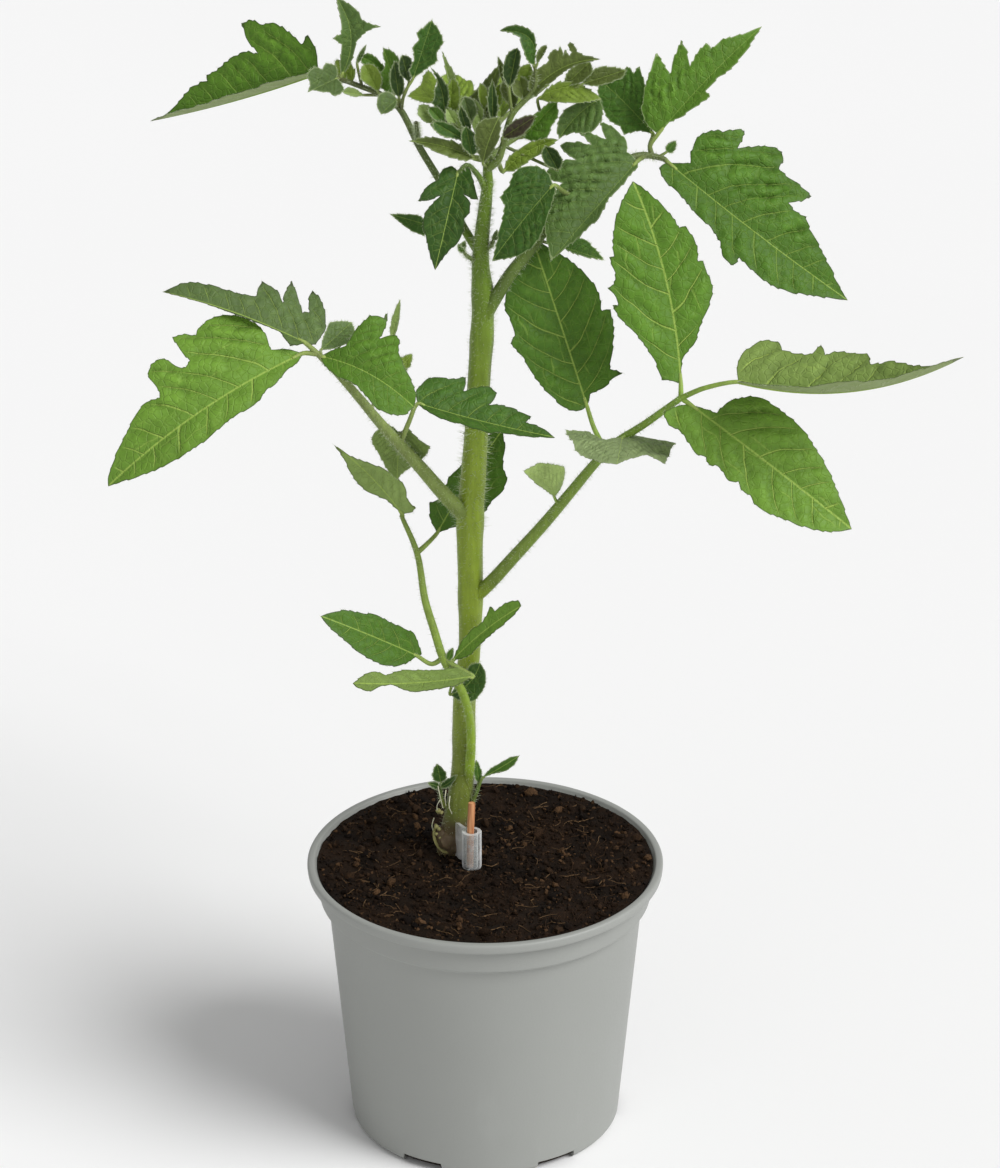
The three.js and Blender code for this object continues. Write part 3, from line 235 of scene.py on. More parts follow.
LEAVES["leaf_upper_right"] = dict(stalks=[
    dict(path=[[481, 322, 0], [492, 304, 2], [510, 275, 2], [530, 250, 0], [545, 230, -3],
               [575, 198, -9], [605, 172, -15], [638, 156, -21], [652, 156, -24], [664, 159, -26]],
         thick=[5.2, 1.9]),
], blades=[
    dict(joins=8, tone="bright", via=[[650, 146, -25]],
         rib=[[658, 134, -26], [704, 82, -31], [762, 26, -42]], face=[-0.1, -0.85, 0.5], curl=-0.5,
         quilt=3, ribs=12, edges=[
        [[648, 126], [642, 112], [646, 84], [652, 66], [657, 52], [664, 64], [670, 74], [673, 60],
         [681, 40], [690, 66], [697, 53], [706, 43], [711, 49], [722, 40], [742, 34]],
        [[668, 122], [679, 118], [710, 97], [706, 91], [717, 79], [730, 70], [740, 59],
         [747, 50]]]),
    dict(joins=8, via=[[650, 146, -26]], rib=[[653, 134, -29], [630, 108, -37], [599, 79, -45]],
         face=[-0.1, -0.85, 0.5], fold=0.1, edges=[
        [[649, 110], [646, 88], [640, 67], [634, 74], [627, 66], [620, 76], [611, 80]],
        [[640, 131], [624, 135], [621, 128], [609, 120], [598, 94]]]),
    dict(joins=9, tone="fresh", rib=[[668, 162, -25], [745, 224, -14], [848, 300, -8]],
         face=[0.12, -0.78, 0.6], fold=0.12, curl=-0.6, edges=[
        [[678, 163], [690, 163], [692, 148], [700, 135], [717, 130], [722, 133], [735, 130],
         [744, 131], [738, 148], [755, 146], [771, 146], [783, 151], [783, 161], [779, 168],
         [788, 177], [800, 185], [812, 196], [788, 203], [797, 212], [806, 217], [808, 224],
         [824, 255], [840, 287]],
        [[659, 168], [663, 178], [681, 196], [692, 210], [713, 231], [720, 243], [722, 256],
         [733, 266], [739, 258], [767, 283], [787, 291], [828, 298]]]),
    dict(joins=7.5, tone="greyish", rib=[[637, 161, -17], [600, 203, -3], [551, 260, 10]],
         face=[-0.15, -0.8, 0.58], fold=0.1, curl=-0.5, quilt=3.2, ribs=10, edges=[
        [[627, 152], [627, 143], [621, 134], [612, 126], [600, 121], [602, 130], [607, 139],
         [598, 136], [586, 131], [573, 128], [582, 135], [591, 145], [580, 142], [566, 142],
         [560, 148], [567, 155], [576, 161], [562, 162], [551, 167], [545, 176], [552, 180],
         [563, 183], [556, 190], [549, 204], [544, 220], [546, 237], [549, 250]],
        [[638, 167], [630, 175], [620, 188], [610, 197], [604, 209], [598, 219], [588, 228],
         [578, 238], [563, 250]]]),
    dict(joins=5, tone="deep", via=[[564, 192, -3]],
         rib=[[553, 185, 3], [528, 214, 9], [492, 261, 14]], face=[-0.25, -0.82, 0.5], fold=0.12,
         edges=[
        [[548, 173], [536, 166], [524, 167], [514, 173], [508, 186], [499, 197], [504, 205],
         [499, 232]],
        [[556, 189], [553, 201], [545, 226], [538, 240], [526, 252], [510, 258]]]),
    dict(joins=3.5, rib=[[560, 246, -6], [604, 260, -14]], face=[0, -0.85, 0.5], edges=[
        [[572, 240], [582, 238], [591, 245], [599, 253]],
        [[573, 253], [590, 258]]]),
    dict(joins=8.5, rib=[[667, 152, -26], [676, 141, -27]], face=[0.2, -0.9, 0.3],
         edges=[1.7, 1.7]),
])
LEAVES["leaf_upper_left"] = dict(stalks=[
    dict(path=[[479, 252, 0], [466, 232, -5], [452, 205, -10], [438, 178, -15], [420, 148, -20],
               [399, 108, -27], [382, 95, -31], [362, 87, -35], [340, 79, -38], [322, 73, -40]],
         thick=[3.2, 1.5]),
    dict(path=[[418, 142, -20], [417, 130, -19], [416, 122, -19]], thick=[1.4, 1.4]),
], blades=[
    dict(joins=9, rib=[[318, 72, -41], [236, 99, -50], [150, 120, -58]], face=[0, -0.3, 0.95],
         fold=0.9, edges=[
        [[317, 56], [315, 47], [308, 36], [301, 43], [288, 30], [274, 22], [262, 24], [250, 20],
         [242, 24], [246, 38], [258, 54], [245, 52], [232, 57], [220, 68], [207, 76], [208, 82],
         [193, 86], [180, 100], [164, 115]],
        8]),
    dict(joins=8, tone="greyish", rib=[[341, 76, -38], [351, 38, -39], [336, -3, -42]],
         face=[0.15, -0.93, 0.3], edges=[
        [[340, 62], [342, 44], [333, 38], [341, 34], [341, 22], [338, 8]],
        [[348, 68], [353, 58], [357, 42], [368, 31], [381, 27], [363, 20], [357, 10], [346, 2]]]),
    dict(joins=8, tone="grey", rib=[[337, 78, -36], [308, 92, -27]], face=[-0.15, -0.9, 0.4],
         edges=[
        [[336, 66], [326, 63], [322, 70], [314, 67], [307, 75], [310, 84]],
        [[344, 90], [335, 96], [329, 92], [322, 92], [315, 90]]]),
    dict(joins=5, tone="grey", rib=[[397, 99, -25], [381, 114, -20]], face=[-0.2, -0.9, 0.4],
         edges=[
        [[388, 91], [378, 96], [377, 106]],
        [[396, 106], [389, 112]]]),
    dict(joins=5, tone="dark", rib=[[399, 98, -26], [394, 62, -29]], face=[-0.2, -0.95, 0.2],
         edges=[
        [[392, 90], [390, 74]],
        [[404, 90], [402, 72], [398, 62]]]),
    dict(joins=4.9, tone="deep", via=[[405, 92, -24]], rib=[[413, 79, -25], [432, 20, -32]],
         face=[0.1, -0.93, 0.35], edges=[
        [[409, 70], [414, 58], [412, 48], [419, 41], [417, 32], [425, 26]],
        [[425, 70], [438, 61], [437, 52], [443, 43], [441, 34], [436, 26]]]),
    dict(joins=5, tone="dark", rib=[[409, 82, -26], [402, 55, -29]], face=[-0.1, -0.95, 0.3],
         edges=[
        [[400, 74], [399, 62]],
        [[413, 72], [411, 58]]]),
    dict(joins=6, tone="fresh", rib=[[388, 91, -35], [377, 66, -39], [360, 57, -41]], quilt=1.2,
         edges=[
        [[377, 80], [367, 67], [361, 62]],
        [[390, 80], [382, 64], [371, 54], [364, 54]]]),
    dict(joins=5.5, rib=[[394, 94, -34], [390, 70, -37], [383, 48, -38]], quilt=1.2, edges=[
        [[381, 88], [379, 76], [385, 65], [383, 56]],
        [[401, 82], [402, 68], [397, 56], [390, 50]]]),
    dict(joins=5.6, tone="yellow", rib=[[378, 92, -30], [371, 78, -35], [364, 64, -37]],
         face=[0.1, -0.95, 0.3], fold=0.5, quilt=1.2, edges=[
        [[368, 85], [360, 79], [361, 68]],
        [[382, 82], [380, 72], [372, 64]]]),
    dict(joins=6, tone="pale", rib=[[364, 95, -34], [342, 92, -31]], face=[0, -0.9, 0.4], quilt=1,
         edges=[
        [[356, 89], [349, 87]],
        [[356, 97], [348, 95]]]),
    dict(joins=7, tone="dark", rib=[[357, 63, -38], [366, 45, -39]], edges=[0.9, 0.9]),
    dict(joins=7, tone="yellow", rib=[[352, 82, -40], [336, 60, -46]], edges=[3.6, 3.6]),
])
LEAVES["leaf_young_front"] = dict(stalks=[
    dict(path=[[487, 192, 0], [477, 174, 4], [466, 165, 7], [458, 174, 8]], thick=[2.2, 1.4]),
], blades=[
    dict(joins=2.8, rib=[[458, 172, 8], [448, 215, 18], [435, 270, 23]], face=[-0.15, -0.93, 0.35],
         fold=0.12, ribs=7, edges=[
        [[452, 166], [445, 168], [440, 173], [439, 179], [431, 183], [424, 190], [418, 201],
         [426, 201], [440, 196], [431, 205], [425, 213], [423, 224], [426, 238], [429, 252],
         [433, 265]],
        [[464, 167], [470, 169], [472, 176], [475, 186], [478, 200], [472, 199], [464, 194],
         [470, 203], [470, 213], [465, 218], [464, 229], [458, 242], [449, 251], [441, 261]]]),
    dict(joins=3, via=[[445, 200, 3]], rib=[[431, 226, 2], [390, 214, -1]], face=[-0.1, -0.85, 0.5],
         edges=[
        [[420, 216], [404, 214]],
        [[424, 236], [410, 230]]]),
])
LEAVES["shoot_tip"] = dict(stalks=[
    dict(path=[[488, 186, 0], [487, 150, 0], [487, 120, 0], [492, 100, 0]], thick=[3.4, 1.4]),
    dict(path=[[488, 168, 0], [498, 160, 2], [503, 146, 3], [512, 115, 2], [531, 94, 1],
               [536, 84, 1], [535, 68, 0]], thick=[2.9, 1.2]),
    dict(path=[[487, 158, 0], [472, 142, 3], [458, 128, 4], [446, 120, 0], [440, 106, -3]],
         thick=[2.2, 1.2]),
    dict(path=[[487, 160, 0], [504, 146, -8], [530, 128, -12], [548, 108, -13], [560, 96, -14]],
         thick=[2.2, 1.2]),
    dict(path=[[479, 262, 0], [467, 256, 3], [461, 247, 4]], thick=[1.6, 1.0]),
    dict(path=[[484, 250, 0], [491, 246, 1], [494, 238, 1]], thick=[1.4, 1.0]),
], blades=[
    dict(joins=[0, 0.5], tone="olive", rib=[[483, 164, 5], [489, 140, 8], [499, 117, 7]],
         face=[0.1, -0.9, 0.3], fold=0.3, quilt=1.6, edges=[
        [[477, 150], [475, 136], [476, 126], [482, 120], [490, 118]],
        [[491, 154], [498, 141], [501, 126]]]),
    dict(joins=[1, 2], tone="bronze", rib=[[502, 138, 5], [536, 116, 7]], face=[0, -0.9, 0.4],
         edges=[
        [[504, 130], [512, 122], [522, 117], [531, 115]],
        [[510, 139], [521, 136], [531, 126]]]),
    dict(joins=[1, 6], tone="deep", rib=[[534, 66, 0], [531, 40, 1], [500, 31, 3]],
         face=[0, -0.9, 0.4], edges=[
        [[527, 60], [522, 47], [520, 38], [511, 33], [505, 32]],
        [[536, 53], [536, 42], [533, 33], [527, 28], [514, 25], [506, 27]]]),
    dict(joins=[1, 6], tone="olive", rib=[[537, 64, 0], [546, 45, 0]], face=[-0.1, -0.9, 0.4],
         edges=[
        [[536, 56], [541, 47]],
        [[543, 56], [547, 48]]]),
    dict(joins=[1, 3], tone="dark", rib=[[509, 88, 2], [517, 48, 2]], face=[-0.1, -0.95, 0.2],
         edges=[
        [[503, 76], [504, 62], [509, 52]],
        [[516, 78], [520, 64], [520, 52]]]),
    dict(joins=[1, 3], tone="olive", rib=[[507, 84, 1], [498, 57, 0]], edges=[1.3, 1.3]),
    dict(joins=[1, 4], tone="olive", rib=[[532, 92, 1], [562, 68, 0], [600, 59, 2]],
         face=[0, -0.8, 0.6], edges=[
        [[528, 88], [530, 78], [536, 70], [543, 66], [549, 60], [548, 56], [553, 50], [558, 50],
         [560, 46], [563, 55], [565, 50], [569, 56], [572, 52], [567, 45], [570, 42], [575, 46],
         [577, 51], [584, 55], [592, 57]],
        [[536, 97], [542, 89], [550, 83], [558, 77], [564, 72], [575, 66], [588, 62]]]),
    dict(joins=[3, 3.6], tone="olive", rib=[[564, 86, -16], [590, 62, -18]], face=[0, -0.8, 0.5],
         edges=[
        [[567, 73], [580, 63]],
        [[580, 83], [593, 73]]]),
    dict(joins=[3, 2.6], tone="yellow", rib=[[538, 99, -13], [568, 87, -15], [600, 98, -17]],
         face=[0, -0.75, 0.6], edges=[
        [[546, 90], [556, 83], [569, 81], [584, 86], [594, 92]],
        [[548, 102], [568, 103], [588, 102], [597, 100]]]),
    dict(joins=[3, 4], tone="olive", rib=[[582, 84, -16], [626, 70, -21]], face=[0, -0.8, 0.6],
         edges=[
        [[588, 74], [600, 67], [614, 67]],
        [[596, 86], [612, 82], [623, 77]]]),
    dict(joins=[3, 1.5], tone="fresh", rib=[[522, 138, -11], [557, 102, -11]],
         face=[0.2, -0.9, 0.3], edges=[
        [[521, 130], [530, 118], [538, 112], [549, 103]],
        [[534, 141], [547, 138], [552, 126], [558, 116]]]),
    dict(joins=[3, 0.5], tone="yellow", rib=[[503, 172, -6], [530, 150, -8], [558, 140, -8]],
         face=[0.2, -0.9, 0.35], edges=[
        [[508, 158], [520, 148], [534, 141], [548, 138]],
        [[514, 171], [528, 162], [546, 150]]]),
    dict(joins=[3, 4], tone="greyish", via=[[580, 92, -18]],
         rib=[[600, 99, -20], [578, 115, -16], [559, 139, -12]], face=[0, -0.9, 0.4], quilt=2.4,
         edges=[
        [[590, 98], [580, 101], [571, 106], [563, 112], [559, 119], [557, 129]],
        [[603, 110], [600, 123], [588, 133], [573, 133], [564, 136]]]),
    dict(joins=[3, 1], tone="dark", rib=[[558, 170, -7], [545, 146, -6]], edges=[
        [[546, 165], [541, 154]],
        [[563, 160], [555, 149]]]),
    dict(joins=[0, 0.7], tone="olive", rib=[[474, 158, 6], [445, 147, 8], [409, 141, 9]],
         face=[0, -0.8, 0.6], edges=[
        [[463, 146], [450, 140], [438, 138], [424, 137], [415, 139]],
        [[466, 161], [452, 158], [440, 154], [424, 146]]]),
    dict(joins=[2, 3], tone="dark", rib=[[444, 119, 0], [442, 92, -1], [431, 68, -3]],
         face=[-0.1, -0.95, 0.2], edges=[
        [[438, 110], [431, 103], [434, 97], [435, 89], [437, 81]],
        [[448, 105], [449, 94], [446, 84], [439, 75]]]),
    dict(joins=[2, 3], tone="yellow", rib=[[450, 116, -3], [452, 78, -6]], face=[0.1, -0.95, 0.2],
         edges=[
        [[446, 104], [446, 90]],
        [[458, 108], [460, 94], [457, 82]]]),
    dict(joins=[2, 4], tone="pale", rib=[[452, 90, -6], [442, 51, -7]], face=[0.2, -0.95, 0.2],
         edges=[
        [[447, 76], [444, 62]],
        [[455, 76], [448, 62]]]),
    dict(joins=[2, 4], tone="yellow", rib=[[437, 99, -4], [420, 97, -6], [407, 96, -8]], fold=0.2,
         quilt=1.4, edges=[
        [[435, 88], [437, 81], [433, 74], [429, 70], [423, 76], [421, 84], [413, 91]],
        [[431, 103], [418, 101]]]),
    dict(joins=[0, 1.2], tone="pale", rib=[[462, 135, 4], [446, 107, 0]], face=[0, -0.92, 0.3],
         quilt=1.2, edges=[
        [[454, 129], [446, 120]],
        [[463, 122], [456, 112]]]),
    dict(joins=[0, 1.4], tone="pale", rib=[[476, 135, 2], [487, 112, 0]], face=[0, -0.92, 0.3],
         quilt=1.2, edges=[
        [[472, 124], [476, 114]],
        [[484, 129], [489, 119]]]),
    dict(joins=[0, 1.5], tone="grey", rib=[[471, 122, 2], [464, 97, 0]], face=[0, -0.95, 0.2],
         edges=[
        [[463, 112], [461, 103]],
        [[477, 112], [474, 100]]]),
    dict(joins=[2, 3], tone="pale", rib=[[436, 124, 0], [419, 105, -3]], face=[0, -0.9, 0.4],
         edges=[
        [[425, 122], [418, 115]],
        [[437, 116], [428, 105]]]),
    dict(joins=[2, 3], tone="fresh", rib=[[444, 124, 2], [429, 107, 0]], face=[0, -0.9, 0.4],
         edges=[
        [[433, 119], [428, 112]],
        [[445, 114], [438, 107]]]),
    dict(joins=[0, 0.8], tone="deep", rib=[[468, 142, 6], [433, 122, 9]], face=[0.1, -0.9, 0.4],
         edges=[
        [[457, 128], [445, 122], [438, 121]],
        [[455, 139], [442, 136], [434, 130]]]),
    dict(joins=[0, 0.8], tone="deep", rib=[[472, 156, 7], [466, 126, 9]], face=[0.1, -0.9, 0.4],
         edges=[
        [[462, 146], [461, 134]],
        [[479, 148], [474, 133]]]),
    dict(joins=[2, 1.3], tone="dark", rib=[[468, 138, 6], [460, 105, 6]], edges=[
        [[463, 128], [458, 116]],
        [[471, 124], [465, 111]]]),
    dict(joins=[2, 2], tone="fresh", rib=[[454, 134, 6], [430, 124, 7]], face=[0, -0.9, 0.4],
         edges=[2.2, 2.2]),
    dict(joins=[0, 1.6], tone="pale", rib=[[480, 124, 1], [462, 98, -1]], face=[-0.1, -0.95, 0.2],
         edges=[
        [[469, 117], [461, 107]],
        [[484, 110], [473, 98]]]),
    dict(joins=[0, 2], tone="yellow", rib=[[488, 124, -1], [500, 84, -3]], face=[0.1, -0.95, 0.2],
         edges=[
        [[483, 110], [490, 92]],
        [[497, 112], [503, 96]]]),
    dict(joins=[0, 2], tone="dark", rib=[[493, 122, 2], [492, 80, 2]], face=[0.1, -0.98, 0.2],
         edges=[
        [[488, 110], [488, 92]],
        [[498, 110], [496, 90]]]),
    dict(joins=[0, 2], tone="yellow", rib=[[484, 110, 1], [480, 83, 0]], face=[0.1, -0.98, 0.2],
         edges=[
        [[479, 100], [478, 90]],
        [[489, 100], [487, 88]]]),
    dict(joins=[0, 2], tone="olive", rib=[[478, 112, -5], [500, 64, -7]], face=[0.2, -0.95, 0.2],
         edges=[
        [[469, 98], [480, 86], [491, 73]],
        [[487, 102], [495, 88], [501, 74]]]),
    dict(joins=[1, 3.3], tone="olive", rib=[[514, 110, -1], [503, 80, -3]], edges=[
        [[503, 98], [500, 88]],
        [[518, 98], [513, 86]]]),
    dict(joins=[1, 3.6], tone="yellow", rib=[[521, 94, -2], [530, 64, -5]], edges=[
        [[514, 82], [518, 70], [524, 65]],
        [[529, 86], [533, 72]]]),
    dict(joins=[1, 3.8], tone="olive", rib=[[524, 100, 0], [519, 76, -3]], edges=[
        [[514, 94], [511, 84]],
        [[531, 92], [527, 80]]]),
    dict(joins=[0, 1], tone="yellow", via=[[474, 120, -14]], rib=[[464, 110, -25], [446, 74, -44]],
         face=[-0.1, 0.3, 0.95], edges=[6, 6]),
    dict(joins=[0, 1], tone="yellow", via=[[500, 122, -14]], rib=[[518, 106, -29], [546, 82, -50]],
         face=[0.1, 0.3, 0.95], edges=[6.5, 6.5]),
    dict(joins=[0, 1.2], tone="yellow", rib=[[474, 122, -13], [440, 112, -28]],
         face=[-0.2, 0.2, 0.95], edges=[5, 5]),
    dict(joins=[0, 1.5], tone="yellow", rib=[[500, 118, -12], [506, 72, -34]], face=[0, 0.5, 0.85],
         edges=[5, 5]),
    dict(joins=[4, 1.2], tone="fresh", rib=[[464, 252, 4], [458, 244, 5]], face=[-0.3, -0.9, 0.3],
         edges=[1.1, 1.1]),
    dict(joins=[4, 2], tone="grey", rib=[[461, 248, 4], [465, 241, 4]], face=[0.2, -0.95, 0.2],
         edges=[1.2, 1.2]),
    dict(joins=[5, 2], tone="grey", rib=[[494, 240, 1], [497, 230, 1]], face=[0.2, -0.95, 0.2],
         edges=[1.1, 1.1]),
])
LEAVES["sprout_left"] = dict(stalks=[
    dict(path=[[454, 812, 0], [443, 803, 0.5], [440, 788, 1]], thick=[2.0, 1.3]),
], blades=[
    dict(joins=2, rib=[[441, 782, 1], [437, 764, 1]], face=[-0.1, -0.9, 0.4], edges=[2.6, 2.6]),
    dict(joins=2, rib=[[441, 787, 2], [450, 782, 4.5], [457, 775, 6.5]], face=[0, -0.8, 0.6],
         edges=[1.5, 1.3]),
    dict(joins=2, rib=[[439, 787, 1], [428, 783, 2]], face=[0, -0.8, 0.6], edges=[1.3, 1.3]),
])
LEAVES["sprout_right"] = dict(stalks=[
    dict(path=[[466, 812, 0], [472, 803, 2.5], [478, 789, 3]], thick=[2.0, 1.3]),
], blades=[
    dict(joins=2, rib=[[482, 778, 3], [500, 768, 4], [519, 756, 4]], face=[-0.2, -0.85, 0.5],
         edges=[
        [[490, 769], [500, 763], [511, 757]],
        [[493, 774], [505, 771], [514, 765]]]),
    dict(joins=1.6, rib=[[479, 782, 2], [476, 760, 2]], face=[0.2, -0.95, 0.2], edges=[1.5, 1.5]),
])


# Curves and sight lines, in millimetres.
def sight(px, py):
    """The way from the eye through a pixel, one long along the view."""
    across = (px - PICTURE_CENTRE[0]) / FOCAL_PIXELS
    up = (PICTURE_CENTRE[1] - py) / FOCAL_PIXELS
    return FORWARD + RIGHTWARD * across + UPWARD * up


def seen(point):
    """Where a pixel lies, as much nearer than the stem as its third number says."""
    px, py, nearer = point
    way = sight(px, py)
    return EYE + way * ((STEM_PLANE_Y - nearer - EYE[1]) / way[1])


def all_seen(points):
    return [seen(point) for point in points]


def unit(vector):
    return vector / np.linalg.norm(vector)


def units(rows):
    """Each row made one long."""
    return rows / np.maximum(np.linalg.norm(rows, axis=1), 1e-9)[:, None]


def polar(reach, turn):
    return reach * math.cos(turn), reach * math.sin(turn)


def step_up(value, low, high):
    share = np.clip((np.asarray(value, float) - low) / (high - low), 0, 1)
    return share * share * (3 - 2 * share)


def between(first, second, share):
    return first * (1 - share) + second * share


def within(value, low, high):
    return min(max(value, low), high)


def run_along(path):
    """How far along a path each of its points is."""
    return np.concatenate(([0], np.cumsum(np.linalg.norm(np.diff(path, axis=0), axis=1))))


def along_curve(points, place):
    """The point of a smooth curve through points, at a place counted in them."""
    last = len(points) - 1
    span = min(int(place), last - 1)
    share = place - span
    start, end = points[span], points[span + 1]
    before = points[span - 1] if span > 0 else 2 * points[0] - points[1]
    after = points[span + 2] if span + 2 <= last else 2 * points[last] - points[last - 1]
    gaps = [math.sqrt(max(np.linalg.norm(b - a), 1e-6))
            for a, b in ((before, start), (start, end), (end, after))]
    leave = ((start - before) / gaps[0] - (end - before) / (gaps[0] + gaps[1])
             + (end - start) / gaps[1]) * gaps[1]
    reach = ((end - start) / gaps[1] - (after - start) / (gaps[1] + gaps[2])
             + (after - end) / gaps[2]) * gaps[1]
    square, cube = share * share, share ** 3
    return (start * (2 * cube - 3 * square + 1) + leave * (cube - 2 * square + share)
            + end * (3 * square - 2 * cube) + reach * (cube - square))


def fine_curve(points, spacing):
    """Points close together on a smooth curve, and the place of each in the first points."""
    places = [0.0]
    for span in range(len(points) - 1):
        count = max(2, math.ceil(np.linalg.norm(points[span + 1] - points[span]) / spacing))
        places += [span + (i + 1) / count for i in range(count)]
    return np.array([along_curve(points, place) for place in places]), np.array(places)


def put(name, data):
    """A new object in the scene."""
    made = bpy.data.objects.new(name, data)
    bpy.context.scene.collection.objects.link(made)
    return made


# The marks where no finish looks at them: the tone, how far the margin is, and then how many side
# veins lie before a place, how far the midrib is, and the space between side veins.
NO_TONE = (1.0, 1.0, 1.0)
NO_MARGIN = 9.0
NO_VEINS = (0.5, 9.0, 9.0)


class Piece:
    """One piece of the plant while it is made, in millimetres, with the marks its finishes use."""

    def __init__(self, name):
        self.name = name
        self.corners, self.tones, self.margins = [], [], []
        self.loops, self.sizes, self.slots, self.veins = [], [], [], []
        self.finishes = []
        self.count = 0

    def add(self, corners, faces, finish, tone=NO_TONE, margin=NO_MARGIN, veins=NO_VEINS):
        """Corners and the faces between them. Returns the number of the first corner."""
        start, count = self.count, len(corners)
        self.corners.append(np.asarray(corners, float))
        self.tones.append(np.broadcast_to(np.asarray(tone, float), (count, 3)))
        self.margins.append(np.broadcast_to(np.asarray(margin, float), (count,)))
        self.count += count
        self.link(faces, finish, start, veins)
        return start

    def link(self, faces, finish, start, veins=NO_VEINS):
        """More faces, between corners counted from start."""
        faces = np.asarray(faces, int)
        if finish not in self.finishes:
            self.finishes.append(finish)
        self.loops.append((faces + start).ravel())
        self.sizes.append(np.full(len(faces), faces.shape[1]))
        self.slots.append(np.full(len(faces), self.finishes.index(finish)))
        self.veins.append(np.broadcast_to(np.asarray(veins, float), (faces.size, 3)))

    def build(self, node, crease=50):
        """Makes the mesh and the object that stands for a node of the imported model."""
        mesh = bpy.data.meshes.new(self.name)
        corners = np.concatenate(self.corners) * MM
        loops, sizes = np.concatenate(self.loops), np.concatenate(self.sizes)
        mesh.vertices.add(len(corners))
        mesh.vertices.foreach_set("co", corners.ravel())
        mesh.loops.add(len(loops))
        mesh.loops.foreach_set("vertex_index", loops)
        mesh.polygons.add(len(sizes))
        mesh.polygons.foreach_set("loop_start", np.concatenate(([0], np.cumsum(sizes)[:-1])))
        mesh.polygons.foreach_set("loop_total", sizes)
        mesh.polygons.foreach_set("material_index", np.concatenate(self.slots))
        mesh.polygons.foreach_set("use_smooth", np.ones(len(sizes), bool))
        mesh.update(calc_edges=True)
        for finish in self.finishes:
            mesh.materials.append(finish)
        tones = np.ones((len(corners), 4))
        tones[:, :3] = np.concatenate(self.tones)
        for name, kind, domain, key, values in (
                ("tone", "FLOAT_COLOR", "POINT", "color", tones),
                ("margin", "FLOAT", "POINT", "value", np.concatenate(self.margins)),
                ("veins", "FLOAT_VECTOR", "CORNER", "vector", np.concatenate(self.veins))):
            mesh.attributes.new(name, kind, domain).data.foreach_set(key, values.ravel())
        mesh.set_sharp_from_angle(angle=math.radians(crease))
        mesh.validate()
        piece = put(self.name, mesh)
        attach(piece, "root")
        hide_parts(node)
        return piece


def tube_faces(rings, sides):
    """The quads between rings of corners, and the fans that close a tube. The two corners that
    the fans meet at come after the last ring."""
    here = np.arange(sides)
    following = (here + 1) % sides
    band = np.stack((here, following, following + sides, here + sides), axis=1)
    quads = (band + sides * np.arange(rings - 1)[:, None, None]).reshape(-1, 4)
    last, foot = (rings - 1) * sides, np.full(sides, rings * sides)
    fans = np.stack((following, here, foot, last + here, last + following, foot + 1), axis=1)
    return quads, fans.reshape(-1, 3)


def ball(cuts):
    """The corners and triangles of a ball with a radius of 1."""
    made = bmesh.new()
    bmesh.ops.create_icosphere(made, subdivisions=cuts, radius=1)
    corners = np.array([tuple(vert.co) for vert in made.verts])
    faces = np.array([[vert.index for vert in face.verts] for face in made.faces])
    made.free()
    return corners, faces


# Finishes. Sums on the values of a finish are written as plain sums.
class Amount:
    """A number that changes over a surface."""

    def __init__(self, finish, socket):
        self.finish, self.socket = finish, socket

    def work(self, operation, *values):
        made = self.finish.node("Math", {"operation": operation}, dict(enumerate(values)))
        return Amount(self.finish, made.outputs[0])

    def __add__(self, other):
        return self.work("ADD", self, other)

    def __sub__(self, other):
        return self.work("SUBTRACT", self, other)

    def __rsub__(self, other):
        return self.work("SUBTRACT", other, self)

    def __mul__(self, other):
        return self.work("MULTIPLY", self, other)

    def __truediv__(self, other):
        return self.work("DIVIDE", self, other)

    __radd__, __rmul__ = __add__, __mul__

    def __abs__(self):
        return self.work("ABSOLUTE", self)

    def part_of_one(self):
        return self.work("FRACT", self)

    def most(self, other):
        return self.work("MAXIMUM", self, other)

    def ramp(self, low, high, start=0.0, end=1.0):
        made = self.finish.node("MapRange", {"interpolation_type": "SMOOTHSTEP"},
                                {0: self, 1: low, 2: high, 3: start, 4: end})
        return Amount(self.finish, made.outputs[0])


